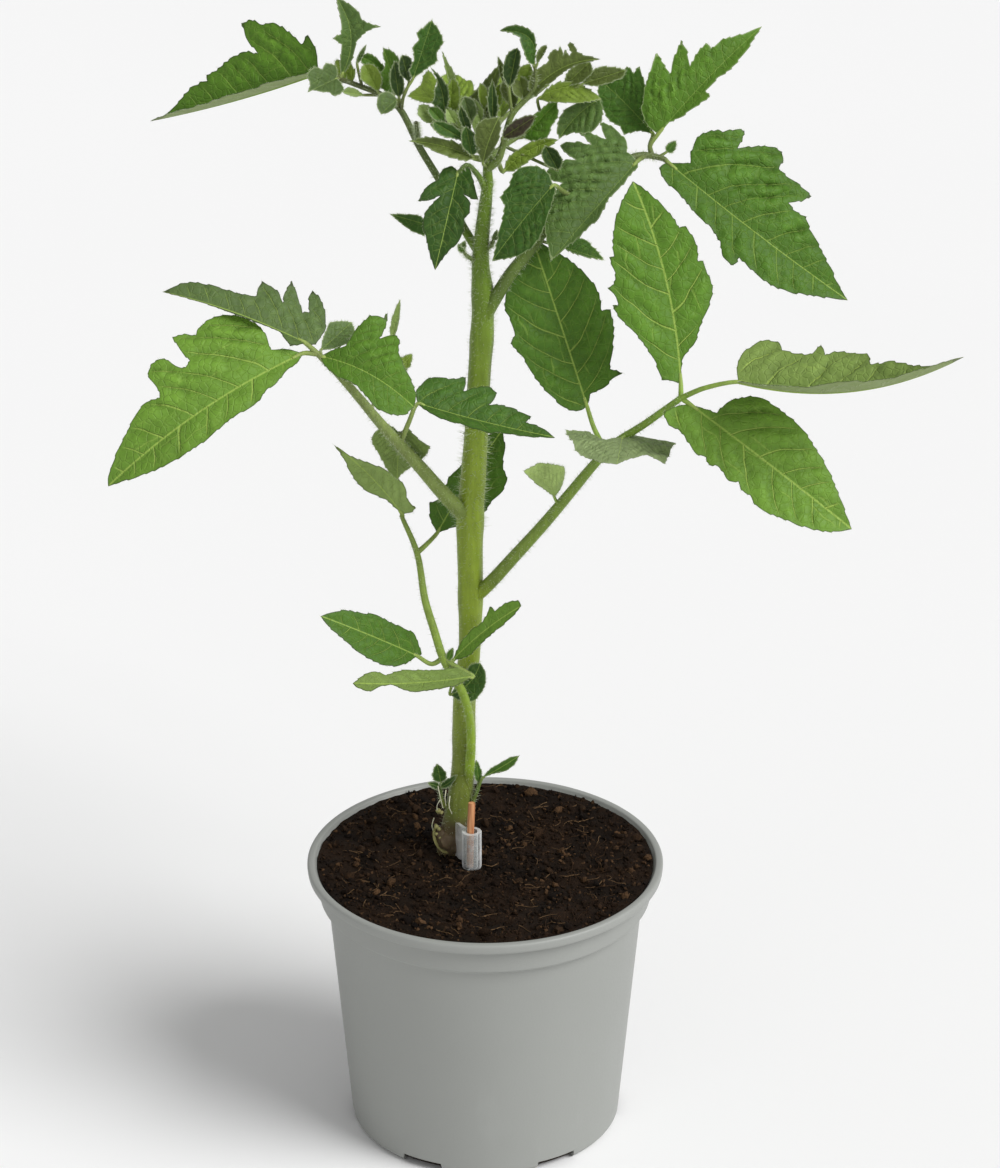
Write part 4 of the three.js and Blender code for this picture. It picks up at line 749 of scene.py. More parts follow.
class Finish:
    """One material, built from nodes."""

    def __init__(self, name):
        self.material = bpy.data.materials.new(name)
        self.material.use_nodes = True
        self.tree = self.material.node_tree
        self.tree.nodes.clear()

    def node(self, kind, settings=(), sockets=()):
        made = self.tree.nodes.new("ShaderNode" + kind)
        for name, setting in dict(settings).items():
            setattr(made, name, setting)
        for name, value in dict(sockets).items():
            socket = made.inputs[name]
            if isinstance(value, Amount):
                self.tree.links.new(value.socket, socket)
            elif isinstance(value, bpy.types.NodeSocket):
                self.tree.links.new(value, socket)
            else:
                socket.default_value = (*value, 1.0) if socket.type == "RGBA" else value
        return made

    def mark(self, name, output="Fac"):
        """What the mesh is marked with under this name."""
        return self.node("Attribute", {"attribute_name": name}).outputs[output]

    def grain(self, size, detail=2.0, stretch=(1, 1, 1)):
        """Noise with blotches of about this size in millimetres."""
        place = self.node("TexCoord").outputs["Object"]
        scaled = self.node("VectorMath", {"operation": "MULTIPLY"}, {0: place, 1: stretch})
        made = self.node("TexNoise", {}, {"Vector": scaled.outputs[0], "Scale": 1000 / size,
                                          "Detail": detail, "Roughness": 0.55})
        return Amount(self, made.outputs["Fac"])

    def cells(self, size, feature="DISTANCE_TO_EDGE"):
        """Cells of about this size in millimetres, by the distance to their edge or middle."""
        place = self.node("TexCoord").outputs["Object"]
        made = self.node("TexVoronoi", {"feature": feature},
                         {"Vector": place, "Scale": 1000 / size})
        return Amount(self, made.outputs["Distance"])

    def blend(self, share, first, second):
        made = self.node("Mix", {"data_type": "RGBA"}, {0: share, 6: first, 7: second})
        return made.outputs[2]

    def scale(self, colour, amount):
        made = self.node("VectorMath", {"operation": "SCALE"}, {0: colour, "Scale": amount})
        return made.outputs[0]

    def bump(self, height, distance):
        """A normal for relief of this height, given in millimetres."""
        made = self.node("Bump", {}, {"Height": height, "Distance": distance * MM,
                                      "Strength": 1.0})
        return made.outputs["Normal"]

    def skin(self, colour, rough, others=()):
        """The main shader, and what it has beyond a colour and a roughness."""
        sockets = {"Base Color": colour, "Roughness": rough, **dict(others)}
        return self.node("BsdfPrincipled", {}, sockets).outputs[0]

    def mix(self, share, first, second):
        return self.node("MixShader", {}, {0: share, 1: first, 2: second}).outputs[0]

    def lit_through(self, share, skin, colour):
        """A skin that lets some light through, in a colour of its own."""
        glow = self.node("BsdfTranslucent", {}, {"Color": colour})
        return self.mix(share, skin, glow.outputs[0])

    def close(self, shader):
        self.node("OutputMaterial", {}, {"Surface": shader})
        return self.material


def vein_marks(finish):
    """How much of a side vein, of the midrib, and of the fine net is at each place, how far the
    margin is, and whether the blade is a grown one."""
    split = finish.node("SeparateXYZ", {}, {0: finish.mark("veins", "Vector")})
    phase, across, spacing = (Amount(finish, split.outputs[i]) for i in range(3))
    wobble = finish.grain(10, 1.0) * 0.24 - 0.12
    bent = phase + wobble
    apart = 0.5 - abs(bent.part_of_one() - 0.5)
    rung = across / spacing * 0.62 + (bent - bent.part_of_one()) * 0.37 + wobble * 2
    rung = 0.5 - abs(rung.part_of_one() - 0.5)
    margin = Amount(finish, finish.mark("margin"))
    side_vein = apart.ramp(0.014, 0.052, 1.0, 0.0) * margin.ramp(0.3, 3.5)
    patches = finish.grain(9, 1.0).ramp(0.4, 0.6)
    branch = rung.ramp(0.012, 0.04, 1.0, 0.0) * margin.ramp(0.8, 4) * patches
    side_vein = side_vein.most(branch * 0.42) * spacing.ramp(1.5, 8, 0.3, 1.0)
    midrib = (abs(across) / spacing).ramp(0.025, 0.07, 1.0, 0.0)
    net = finish.cells(2.6).ramp(0.0, 0.12, 1.0, 0.0) * margin.ramp(0.2, 1.6)
    return side_vein, midrib, net, margin, spacing.ramp(1.5, 3.4)


def make_leaf_top():
    finish = Finish("leaf_upper_skin")
    side_vein, midrib, net, margin, grown = vein_marks(finish)
    tone = finish.mark("tone", "Color")
    blotch = finish.grain(11, 3.0) * 0.5 + finish.grain(2.2) * 0.34 + 0.58
    vein = finish.blend(0.7, tone, paint(180, 208, 98))
    colour = finish.blend(net * 0.1, finish.scale(tone, blotch), vein)
    colour = finish.blend(side_vein * 0.82, colour, vein)
    colour = finish.blend(midrib * 0.8, colour, vein)
    rim = finish.blend(grown, paint(162, 178, 126), paint(52, 50, 38))
    colour = finish.blend(margin.ramp(0.1, 0.42, 0.6, 0.0), colour, rim)
    height = finish.grain(1.1) * 0.3 - side_vein * 0.8 - net * 0.3 + finish.grain(3.4, 1.0)
    skin = finish.skin(colour, finish.grain(3) * 0.2 + 0.44, {
        "Normal": finish.bump(height, 0.5), "Specular IOR Level": 0.28, "Sheen Weight": 0.04,
        "Sheen Roughness": 0.4})
    return finish.close(finish.lit_through(0.2, skin, paint(108, 156, 44)))


def make_leaf_under():
    finish = Finish("leaf_under_skin")
    side_vein, _, net, margin, grown = vein_marks(finish)
    vein = paint(176, 192, 136)
    skin = finish.scale(UNDER_TONE, finish.grain(8, 3.0) * 0.4 + 0.8)
    colour = finish.blend(net * 0.3, skin, vein)
    colour = finish.blend(side_vein * 0.75, colour, vein)
    rim = finish.blend(grown, paint(176, 188, 142), paint(70, 66, 48))
    colour = finish.blend(margin.ramp(0.1, 0.4, 0.5, 0.0), colour, rim)
    height = side_vein * 0.9 + net * 0.35 + finish.grain(1) * 0.25
    skin = finish.skin(colour, 0.68, {
        "Normal": finish.bump(height, 0.3), "Specular IOR Level": 0.3, "Sheen Weight": 0.08,
        "Sheen Roughness": 0.5})
    return finish.close(finish.lit_through(0.2, skin, paint(140, 170, 84)))


def make_stalk_skin():
    finish = Finish("stalk_skin")
    streak = finish.grain(1.6, 3.0, (1, 1, 0.1)) * 0.7 + finish.grain(7) * 0.5 + 0.42
    colour = finish.scale(finish.mark("tone", "Color"), streak)
    pores = finish.cells(1.5, "F1").ramp(0.0, 0.16, 1.0, 0.0)
    colour = finish.blend(pores * 0.36, colour, paint(166, 182, 104))
    height = finish.grain(1.2, 3.0, (1, 1, 0.3)) + pores * 0.5
    return finish.close(finish.skin(colour, finish.grain(4) * 0.2 + 0.4, {
        "Normal": finish.bump(height, 0.3), "Specular IOR Level": 0.25,
        "Subsurface Weight": 0.12, "Subsurface Scale": 0.002,
        "Subsurface Radius": (0.6, 1.0, 0.3), "Sheen Weight": 0.04}))


def make_hair_skin():
    finish = Finish("plant_hair")
    colour = finish.scale(finish.mark("tone", "Color"), finish.grain(5, 1.0) * 0.3 + 0.85)
    return finish.close(finish.lit_through(0.4, finish.skin(colour, 0.45), HAIR_TONE))


def make_pot_plastic():
    finish = Finish("grey_pot_plastic")
    cloud = finish.grain(46)
    fine = finish.grain(0.9)
    scuff = finish.grain(16, 4.0, (1, 1, 0.35)).ramp(0.56, 0.78)
    colour = finish.blend(cloud * 0.5, paint(144, 146, 142), paint(152, 154, 150))
    colour = finish.blend(scuff * 0.1, colour, paint(178, 180, 178))
    return finish.close(finish.skin(colour, fine * 0.16 + scuff * 0.08 + 0.4, {
        "Normal": finish.bump(fine * 0.6 + cloud * 0.8, 0.06), "Specular IOR Level": 0.4}))


def make_soil_skin():
    finish = Finish("potting_soil")
    fleck = finish.grain(0.7, 3.0)
    patch = finish.grain(15, 3.0).ramp(0.38, 0.64)
    tone = finish.blend(patch * 0.55, finish.mark("tone", "Color"), paint(50, 34, 21))
    colour = finish.scale(tone, fleck * 1.6 + finish.grain(4) * 0.6 - 0.35)
    return finish.close(finish.skin(colour, finish.grain(2) * 0.3 + 0.6, {
        "Normal": finish.bump(fleck + finish.grain(0.3) * 0.5, 0.5), "Specular IOR Level": 0.1}))


def make_stick_wood():
    finish = Finish("stick_wood")
    streak = finish.grain(0.9, 4.0, (1, 1, 0.06))
    colour = finish.blend(streak.ramp(0.35, 0.68), paint(214, 156, 108), paint(166, 100, 62))
    normal = finish.bump(streak, 0.15)
    return finish.close(finish.skin(colour, streak * 0.2 + 0.55, {"Normal": normal}))


def make_clip_silicone():
    finish = Finish("milky_clip_silicone")
    facing = Amount(finish, finish.node("LayerWeight", {}, {"Blend": 0.45}).outputs["Facing"])
    cloud = finish.grain(3)
    colour = finish.blend(cloud, paint(236, 238, 238), paint(252, 252, 252))
    skin = finish.skin(colour, cloud * 0.14 + 0.14, {
        "Normal": finish.bump(cloud, 0.1), "Specular IOR Level": 0.6})
    clear = finish.node("BsdfTransparent", {}, {"Color": paint(240, 244, 243)}).outputs[0]
    share = facing.ramp(0.3, 0.75) * 0.64 + cloud.ramp(0.45, 0.72) * 0.16 + 0.18
    return finish.close(finish.mix(share, clear, skin))


LEAF_TOP = make_leaf_top()
LEAF_UNDER = make_leaf_under()
STALK_SKIN = make_stalk_skin()
HAIR_SKIN = make_hair_skin()


# Round limbs and hairs.
class Limb:
    """A round limb along a smooth curve, with the frame at each of its rings."""

    def __init__(self, points, thick, spacing=2.0, ridge=0.02):
        self.path, places = fine_curve(points, spacing)
        if len(thick) != len(points):
            thick = np.linspace(thick[0], thick[-1], len(points))
        self.radii = np.interp(places, np.arange(len(points)), thick) / 2
        self.share = places / places[-1]
        self.tangents = units(np.gradient(self.path, axis=0))
        chord = unit(points[-1] - points[0])
        reference = RIGHTWARD if abs(chord[1]) > 0.8 else INWARD
        self.sides = units(reference - self.tangents * (self.tangents @ reference)[:, None])
        self.others = np.cross(self.sides, self.tangents)
        self.ridge = ridge

    def swell(self, place, amount, reach):
        """Thickens the limb around a share of its length."""
        lengths = run_along(self.path)
        centre = np.interp(place, self.share, lengths)
        self.radii = self.radii * (1 + amount * np.exp(-((lengths - centre) / reach) ** 2))

    def skin(self, piece, finish, tone, sides=12, tip_tone=None, cap=0.7, from_stem=False):
        """Adds the limb's closed surface. From a stem, its foot takes up the stem's green."""
        turns = np.linspace(0, FULL_TURN, sides, endpoint=False)
        ripple = 1 + self.ridge * (np.sin(turns * 5 + 1) + 0.6 * np.sin(turns * 3))
        ring = (self.sides[:, None] * np.cos(turns)[None, :, None]
                + self.others[:, None] * np.sin(turns)[None, :, None])
        corners = self.path[:, None] + ring * (self.radii[:, None] * ripple)[:, :, None]
        ends = [self.path[0] - self.tangents[0] * self.radii[0] * 0.4,
                self.path[-1] + self.tangents[-1] * self.radii[-1] * cap]
        tone = np.array(tone)
        last_tone = tone if tip_tone is None else np.array(tip_tone)
        tones = tone + (last_tone - tone) * self.share[:, None]
        if from_stem:
            joined = (1 - step_up(run_along(self.path), 5.0, 13.0))[:, None]
            tones = between(tones, stem_tone(self.path[0, 2]), joined)
        every = np.concatenate((np.repeat(tones, sides, axis=0), [tones[0], tones[-1]]))
        # Its rings turn the other way from those that the faces are listed for.
        quads, fans = tube_faces(len(self.path), sides)
        corners = np.concatenate((corners.reshape(-1, 3), ends))
        start = piece.add(corners, quads[:, (1, 0, 3, 2)], finish, every)
        piece.link(fans[:, (1, 0, 2)], finish, start)

    def hairs(self, piece, count, longest, low=0.0, high=1.0, base=0.07):
        """Hairs that stand out all round, between two shares of the limb's rings."""
        rings = chance.uniform(low, high, count) * (len(self.path) - 1)
        first = np.minimum(rings.astype(int), len(self.path) - 2)
        share = (rings - first)[:, None]
        turns = chance.uniform(0, FULL_TURN, count)[:, None]
        path, radii, sides, others, tangents = (
            between(values[first], values[first + 1], share) for values in
            (self.path, self.radii[:, None], self.sides, self.others, self.tangents))
        outward = sides * np.cos(turns) + others * np.sin(turns)
        ways = outward + tangents * 0.15 + chance.normal(0, 0.28, (count, 3))
        lengths = chance.uniform(0.35, 1.0, count) ** 1.2 * longest
        add_needles(piece, path + outward * radii * 0.92, ways, lengths, base)


def add_needles(piece, roots, ways, lengths, base):
    """Closed three-sided needles, the hairs of the plant."""
    count = len(roots)
    ways = units(ways)
    first = units(np.cross(ways, np.where(np.abs(ways[:, 2:3]) > 0.8, RIGHTWARD, SKYWARD)))
    second = np.cross(ways, first)
    corners = np.empty((count, 4, 3))
    for k in range(3):
        turn = FULL_TURN * k / 3
        corners[:, k] = roots + (first * math.cos(turn) + second * math.sin(turn)) * base
    corners[:, 3] = roots + ways * lengths[:, None]
    needle = np.array(((0, 2, 1), (0, 1, 3), (1, 2, 3), (2, 0, 3)))
    faces = (needle + 4 * np.arange(count)[:, None, None]).reshape(-1, 3)
    piece.add(corners.reshape(-1, 3), faces, HAIR_SKIN, HAIR_TONE)


# Leaf blades, in millimetres. Up to the first length a blade has fewer teeth and varies more in
# its green, and up to the second its stalk is thinner. Half the thickness is given at the margin,
# and then what it gains further in.
SMALL_BLADE = 26
SHORT_BLADE = 22
MIDRIB_DEPTH = 0.5
HALF_THICK, HALF_THICKER = 0.1, 0.09
MARGIN_HAIR_THICK = 0.05
SWELL_REACH = 5.0


def is_width(edge):
    """Whether an edge is given as a half width."""
    return isinstance(edge, (int, float))


class Sheet:
    """The flat sheet that a blade is a height over, held by its base, tip and facing."""

    def __init__(self, shape):
        ends = all_seen(shape["rib"])
        self.base = ends[0]
        chord = ends[-1] - ends[0]
        self.length = np.linalg.norm(chord)
        self.along = chord / self.length
        face = np.array(shape["face"], float)
        self.face = unit(face - self.along * (face @ self.along))
        self.across = np.cross(self.face, self.along)
        self.fold, self.curl = shape["fold"], shape["curl"]
        self.sway = self.rise = 0.0
        if len(ends) == 3:
            middle = ends[1] - ends[0]
            share = middle @ self.along / self.length
            share *= 1 - share
            self.sway, self.rise = middle @ self.across / share, middle @ self.face / share

    def rib_across(self, s):
        return self.sway * s * (1 - s)

    def height(self, s, w):
        away = np.abs(w - self.rib_across(s))
        return self.rise * s * (1 - s) + self.fold * away + self.curl * (away / 10) ** 2

    def place(self, s, w, lift=0.0):
        """Where a share of the length and a distance across it are, lifted off the sheet."""
        up = self.height(s, w) + lift
        return (self.base + self.along * (s * self.length)[:, None] + self.across * w[:, None]
                + self.face * up[:, None])

    def on_rib(self, s, lift):
        return self.place(s, self.rib_across(s), lift)

    def side_of(self, edges, rib):
        """Which side of the sheet the first edge is on, 1 or -1."""
        start, end = rib[0], rib[-1]

        def mean_turn(edge):
            return np.mean([(py - start[1]) * (end[0] - start[0])
                            - (px - start[0]) * (end[1] - start[1]) for px, py in edge])

        second = 0 if is_width(edges[1]) else mean_turn(edges[1])
        side = 1 if second > mean_turn(edges[0]) else -1
        return side if self.face @ FORWARD < 0 else -side

    def find(self, pixel, side):
        """The share of the length and the distance across that a pixel shows, on one side."""
        way = sight(*pixel)
        slope = unit(self.face - self.across * side * self.fold)
        lift = 0.0
        for _ in range(6):
            start = self.base + self.face * lift
            hit = EYE + way * ((start - EYE) @ slope / (way @ slope)) - self.base
            s = within(hit @ self.along / self.length, -0.3, 1.1)
            w = hit @ self.across
            lift = self.height(s, w) - self.fold * side * w
        away = max((w - self.rib_across(s)) * side, 0.25)
        return s, self.rib_across(s) + side * away


def toothed_half(sheet, half_width, side):
    """A plain half of a small leaflet, with three teeth that point forward."""
    points = []
    for s in np.linspace(0.04, 0.97, 26):
        teeth = 1 + 0.2 * ((s * 3.4) % 1 - 0.5) * (1 if half_width > 1.4 else 0.3)
        width = half_width * math.sin(math.pi * s ** 0.72) ** 0.75 * teeth
        points.append((s * sheet.length, sheet.rib_across(s) + side * width))
    return points


def softened(points, side, spacing):
    """A traced edge with its teeth kept sharp and what is between them made smooth."""
    points = [np.array(p, float) for p in points]
    turns = [0.0]
    for before, here, after in zip(points, points[1:], points[2:]):
        one, two = here - before, after - here
        cosine = one @ two / max(np.linalg.norm(one) * np.linalg.norm(two), 1e-9)
        turns.append(math.acos(within(cosine, -1.0, 1.0)))
    corners = [0] + [i for i in range(1, len(points) - 1) if turns[i] > 0.8] + [len(points) - 1]
    path = [points[0]]
    for first, last in zip(corners, corners[1:]):
        run = points[first:last + 1]
        if len(run) == 2:
            gap = run[1] - run[0]
            bulge = np.array((-gap[1], gap[0])) * side * 0.07
            run = [run[0], (run[0] + run[1]) / 2 + bulge, run[1]]
        path += list(fine_curve(run, spacing)[0][1:])
    return path


def toothed(path, side, period, depth):
    """The same edge with fine teeth that point to the tip, none at its ends."""
    path = np.array(path)
    ways = units(np.gradient(path, axis=0))
    run = run_along(path)
    uneven = run / period + 0.35 * np.sin(run / period * 1.7 + period)
    saw = (uneven % 1) ** 1.4 - 0.4
    fade = step_up(run, 0, run[-1] * 0.12) * (1 - step_up(run, run[-1] * 0.93, run[-1]))
    outward = np.stack((-ways[:, 1], ways[:, 0]), axis=1) * side
    return list(path + outward * (saw * fade * depth)[:, None])


def far_from(points, line):
    """The distance of each point from a line of joined stretches, in the flat."""
    starts, ends = line[:-1], line[1:]
    gaps = ends - starts
    squares = np.maximum((gaps ** 2).sum(1), 1e-12)
    away = points[:, None] - starts[None]
    share = np.clip((away * gaps[None]).sum(2) / squares[None], 0, 1)
    return np.sqrt(((away - gaps[None] * share[..., None]) ** 2).sum(2).min(1))


def inside(points, ring):
    """Whether each point is inside a ring, in the flat."""
    x, y = points[:, 0][:, None], points[:, 1][:, None]
    x0, y0 = ring[:, 0][None], ring[:, 1][None]
    x1, y1 = np.roll(ring[:, 0], -1)[None], np.roll(ring[:, 1], -1)[None]
    crosses = (y0 > y) != (y1 > y)
    meets = x0 + (y - y0) / np.where(np.abs(y1 - y0) < 1e-12, 1e-12, y1 - y0) * (x1 - x0)
    return (crosses & (x < meets)).sum(1) % 2 == 1


def puckers(p, q, seed):
    """How swollen each place is: 0 on the creases of uneven cells, 1 well inside them."""
    first, second = np.full(len(p), 9.0), np.full(len(p), 9.0)
    for i in (-1, 0, 1):
        for j in (-1, 0, 1):
            cell_p, cell_q = np.floor(p) + i, np.floor(q) + j
            throw = np.sin(cell_p * 12.7 + cell_q * 31.1 + seed) * 437.5
            off_p, off_q = throw % 1 - 0.5, (throw * 3.7) % 1 - 0.5
            gap = np.hypot(p - cell_p - 0.5 - off_p * 0.4, q - cell_q - 0.5 - off_q * 0.8)
            second = np.minimum(second, np.maximum(first, gap))
            first = np.minimum(first, gap)
    return np.clip((second - first) * 2.4, 0, 1) ** 0.7


def outline(sheet, shape, spacing):
    """The ring round a blade in the flat, from its base, and the number of the tip in it."""
    edges, length = shape["edges"], sheet.length
    traced = not is_width(edges[0])
    side = sheet.side_of(edges, shape["rib"]) if traced else 1
    halves = []
    for edge, half_side in zip(edges, (side, -side)):
        if is_width(edge):
            middle = toothed_half(sheet, edge, half_side)
        else:
            middle = [(s * length, w) for s, w in (sheet.find(pixel, half_side) for pixel in edge)]
        line = softened([(0, 0), *middle, (length, 0)], half_side, spacing * 0.6)
        if traced:
            period = within(length / (6 if length < SMALL_BLADE else 9), 1.5, 4.2)
            line = toothed(line, half_side, period, period * shape["teeth"])
        halves.append(line)
    if side > 0:
        halves.reverse()
    return np.array(halves[0] + halves[1][::-1][1:-1]), len(halves[0]) - 1


def fill(ring, tip, rib, spacing):
    """Corners and triangles that fill a ring evenly, with edges along the rib."""
    low, high = ring.min(0), ring.max(0)
    rows = []
    for j, w in enumerate(np.arange(low[1], high[1], spacing * 0.87)):
        us = np.arange(low[0] + (j % 2) * spacing / 2, high[0], spacing)
        rows.append(np.stack((us, np.full(len(us), w)), axis=1))
    lattice = np.concatenate(rows)
    lattice = lattice[inside(lattice, ring)]
    for line in (np.vstack((ring, ring[:1])), rib):
        lattice = lattice[far_from(lattice, line) > spacing * 0.5]
    every = np.vstack((ring, rib[1:-1], lattice))
    chain = [0, *range(len(ring), len(ring) + len(rib) - 2), tip]
    made = delaunay_2d_cdt([Vector(p) for p in every], list(zip(chain, chain[1:])),
                           [list(range(len(ring)))], 1, 1e-5, False)
    flat = np.array([tuple(v) for v in made[0]])
    faces = np.array([f for f in made[2] if len(f) == 3])
    one, two = flat[faces[:, 1]] - flat[faces[:, 0]], flat[faces[:, 2]] - flat[faces[:, 0]]
    areas = one[:, 0] * two[:, 1] - one[:, 1] * two[:, 0]
    faces = np.where((areas < 0)[:, None], faces[:, ::-1], faces)
    faces = faces[(np.abs(areas) > 1e-7) & inside(flat[faces].mean(1), ring)]
    used = np.unique(faces)
    return flat[used], np.searchsorted(used, faces)


class Blade:
    """A leaflet: a flat mesh, and the relief and marks that it carries over its sheet."""

    def __init__(self, shape):
        self.sheet = Sheet(shape)
        self.length = length = self.sheet.length
        spacing = within(length / 42, 0.5, 1.3)
        ring, tip = outline(self.sheet, shape, spacing)
        s = np.linspace(0, 1, max(4, int(length / spacing)) + 1)
        rib = np.stack((s * length, self.sheet.rib_across(s)), axis=1)
        self.flat, self.faces = fill(ring, tip, rib, spacing)
        self.margin = far_from(self.flat, np.vstack((ring, ring[:1])))
        self.s = self.flat[:, 0] / length
        self.away = self.flat[:, 1] - self.sheet.rib_across(self.s)
        self.width = max(np.abs(self.away).max(), 1.0)
        self.size = min(self.width / 20, 1.0)
        self.gap = within(length / shape["ribs"], 1.8, 13)
        self.quilt = shape["quilt"]
        self.seed = shape["rib"][0][0] * 0.37 + shape["rib"][0][1] * 0.11
        self.vein_share = min(0.78, 1.05 - 0.26 * self.quilt)
        self.tone = np.array(TONES[shape["tone"]])
        lift, self.tint_and_painted_shade = self.relief()
        self.corners = self.sheet.place(self.s, self.flat[:, 1], lift)
        self.normals = self.find_normals()

    def phase(self, along, off, half):
        """How many side veins lie between the base and a place on one half."""
        run = (along - 0.52 * np.abs(off) - 0.62 / self.width * off ** 2) / self.gap
        return run + 0.13 * np.sin(run * 1.9 + self.seed) + np.where(half > 0, 0.12, 0.6)

    def relief(self):
        """The lift of each corner, swollen between side veins, creased along the midrib and
        gently waved, and how light its green is: a random tint for the blade, times painted
        shade in the creases and painted highlight on the swellings."""
        along, across, away, seed = self.flat[:, 0], self.flat[:, 1], self.away, self.seed
        stray = self.phase(along, away, np.sign(away))
        stray += 0.16 * np.sin(along * 0.31 + seed) * np.sin(across * 0.27 + seed * 3)
        cells = puckers(stray, away / (self.gap * 0.8) + 0.3 * np.sin(along * 0.2 + seed), seed)
        ridge = 0.75 * np.abs(np.sin(math.pi * stray)) ** 0.7 + 0.42 * cells - 0.72
        body = step_up(np.abs(away), 0.3, self.width * 0.35)
        body *= 0.35 + 0.65 * step_up(self.margin, 0, 4)
        lift = self.quilt * 0.1 * self.gap * ridge * body
        fine = np.sin(along * 1.15 + 1.7 * np.sin(across * 0.6 + seed))
        fine *= np.sin(across * 1.25 + seed)
        lift += self.quilt * 0.2 * self.size * fine * body
        lift -= MIDRIB_DEPTH * self.size * np.exp(-(away / 1.6) ** 2)
        wave = np.sin(self.s * 8.5 + seed) * 0.6 + np.sin(self.s * 17 + seed * 2.3) * 0.4
        lift += 1.5 * self.size * wave * np.sign(away) * (np.abs(away) / self.width) ** 1.6
        shade = 1 + (0.16 if self.length < SMALL_BLADE else 0.06) * math.sin(seed * 9)
        # Painted shade and highlight: the green is made darker in the creases and lighter on the
        # swellings of the relief.
        swollen = np.maximum(ridge + 0.3 * fine + 0.12, -0.75) * body
        return lift, shade * (1 + (0.05 + 0.22 * self.quilt) * swollen)

    def find_normals(self):
        first, second, third = (self.corners[self.faces[:, k]] for k in range(3))
        face_normals = np.cross(second - first, third - first)
        normals = np.zeros_like(self.corners)
        for k in range(3):
            np.add.at(normals, self.faces[:, k], face_normals)
        return units(normals)

    def add_skin(self, piece):
        """Adds both sides and the wall between them. Returns the edges of the border."""
        faces, count = self.faces, len(self.corners)
        thick = self.normals * (HALF_THICK + HALF_THICKER * step_up(self.margin, 0, 1.2))[:, None]
        both = np.concatenate((self.corners + thick, self.corners - thick))
        half = np.repeat(np.sign(self.away[faces].mean(1)), 3)
        loops = faces.ravel()
        phase = self.phase(self.flat[loops, 0], self.away[loops], half)
        space = np.full(len(loops), self.gap * self.vein_share)
        veins = np.stack((phase, self.away[loops], space), axis=1)
        # The top's tone carries the blade's tint, with the painted crease shade and highlight.
        start = piece.add(both, faces, LEAF_TOP, np.tile(self.tone * self.tint_and_painted_shade[:, None], (2, 1)),
                          np.tile(self.margin, 2), veins)
        under_veins = veins.reshape(-1, 3, 3)[:, ::-1].reshape(-1, 3)
        piece.link(faces[:, ::-1] + count, LEAF_UNDER, start, under_veins)
        directed = np.concatenate((faces[:, (0, 1)], faces[:, (1, 2)], faces[:, (2, 0)]))
        one, two = directed.T
        border = directed[~np.isin(one * count + two, two * count + one)]
        one, two = border.T
        piece.link(np.stack((two, one, one + count, two + count), axis=1), LEAF_TOP, start)
        return border

    def add_midrib(self, piece):
        """The midrib, standing out below and a little above."""
        s = np.linspace(0.0, 0.96, max(4, int(self.length / 3)))
        radii = within(self.length * 0.012, 0.3, 1.1) / 2 * (1 - 0.78 * s)
        path = self.sheet.on_rib(s, -MIDRIB_DEPTH * self.size - radii * 0.45)
        paler = (np.array(RIB_TONE) - self.tone) * self.vein_share
        Limb(list(path), radii * 2, 3.0, 0.0).skin(piece, STALK_SKIN, self.tone + paler, 8,
                                                   self.tone + paler * 0.5)

    def add_margin_hairs(self, piece, border):
        count = int(min(len(border) * (1.6 if self.gap < 3 else 0.8), 300))
        picked = border[chance.integers(0, len(border), count), 0]
        middle = self.corners.mean(0)
        ways = self.corners[picked] - middle + self.normals[picked] * 3
        ways += chance.normal(0, 2.5, ways.shape) + unit(middle - self.corners[0])
        lengths = chance.uniform(0.4, 1.15, count)
        add_needles(piece, self.corners[picked], ways, lengths, MARGIN_HAIR_THICK)


def add_blade_stalk(piece, shape, stalks, sheet, tone):
    """The short stalk that a blade stands on, from the leaf's stalk to the blade's base."""
    joins = shape["joins"]
    which, place = joins if isinstance(joins, list) else (0, joins)
    start = along_curve(all_seen(stalks[which]["path"]), place)
    if sheet.length < SHORT_BLADE:
        into, thick = 0.06, [1.2, min(0.9, 0.05 * sheet.length + 0.3)]
    else:
        into, thick = 0.05, [2.0, 1.15]
    points = [start, *all_seen(shape["via"]), *sheet.on_rib(np.array((0.0, into)), -0.35)]
    limb = Limb(points, thick, 1.2)
    limb.skin(piece, STALK_SKIN, tone, 10, BLADE_STALK_TONE)
    limb.hairs(piece, int(np.linalg.norm(points[-1] - start) * 2.5), 0.9)


def make_leaf(node):
    look = dict(zip(LOOK_NAMES, LEAF_LOOKS[node]))
    stalks = LEAVES[node]["stalks"]
    piece = Piece("grown_" + node)
    for stalk in stalks:
        limb = Limb(all_seen(stalk["path"]), stalk["thick"], 2.0, 0.03)
        limb.swell(0.0, 0.14, SWELL_REACH)
        limb.skin(piece, STALK_SKIN, look["foot_tone"], 14, look["end_tone"],
                  from_stem=stalk is stalks[0])
        limb.hairs(piece, look["hairs"] // len(stalks), 2.1)
    for own_shape in LEAVES[node]["blades"]:
        shape = {**BLADE_DEFAULTS, **look, **own_shape}
        blade = Blade(shape)
        border = blade.add_skin(piece)
        blade.add_midrib(piece)
        blade.add_margin_hairs(piece, border)
        add_blade_stalk(piece, shape, stalks, blade.sheet, look["end_tone"])
    piece.build(node)


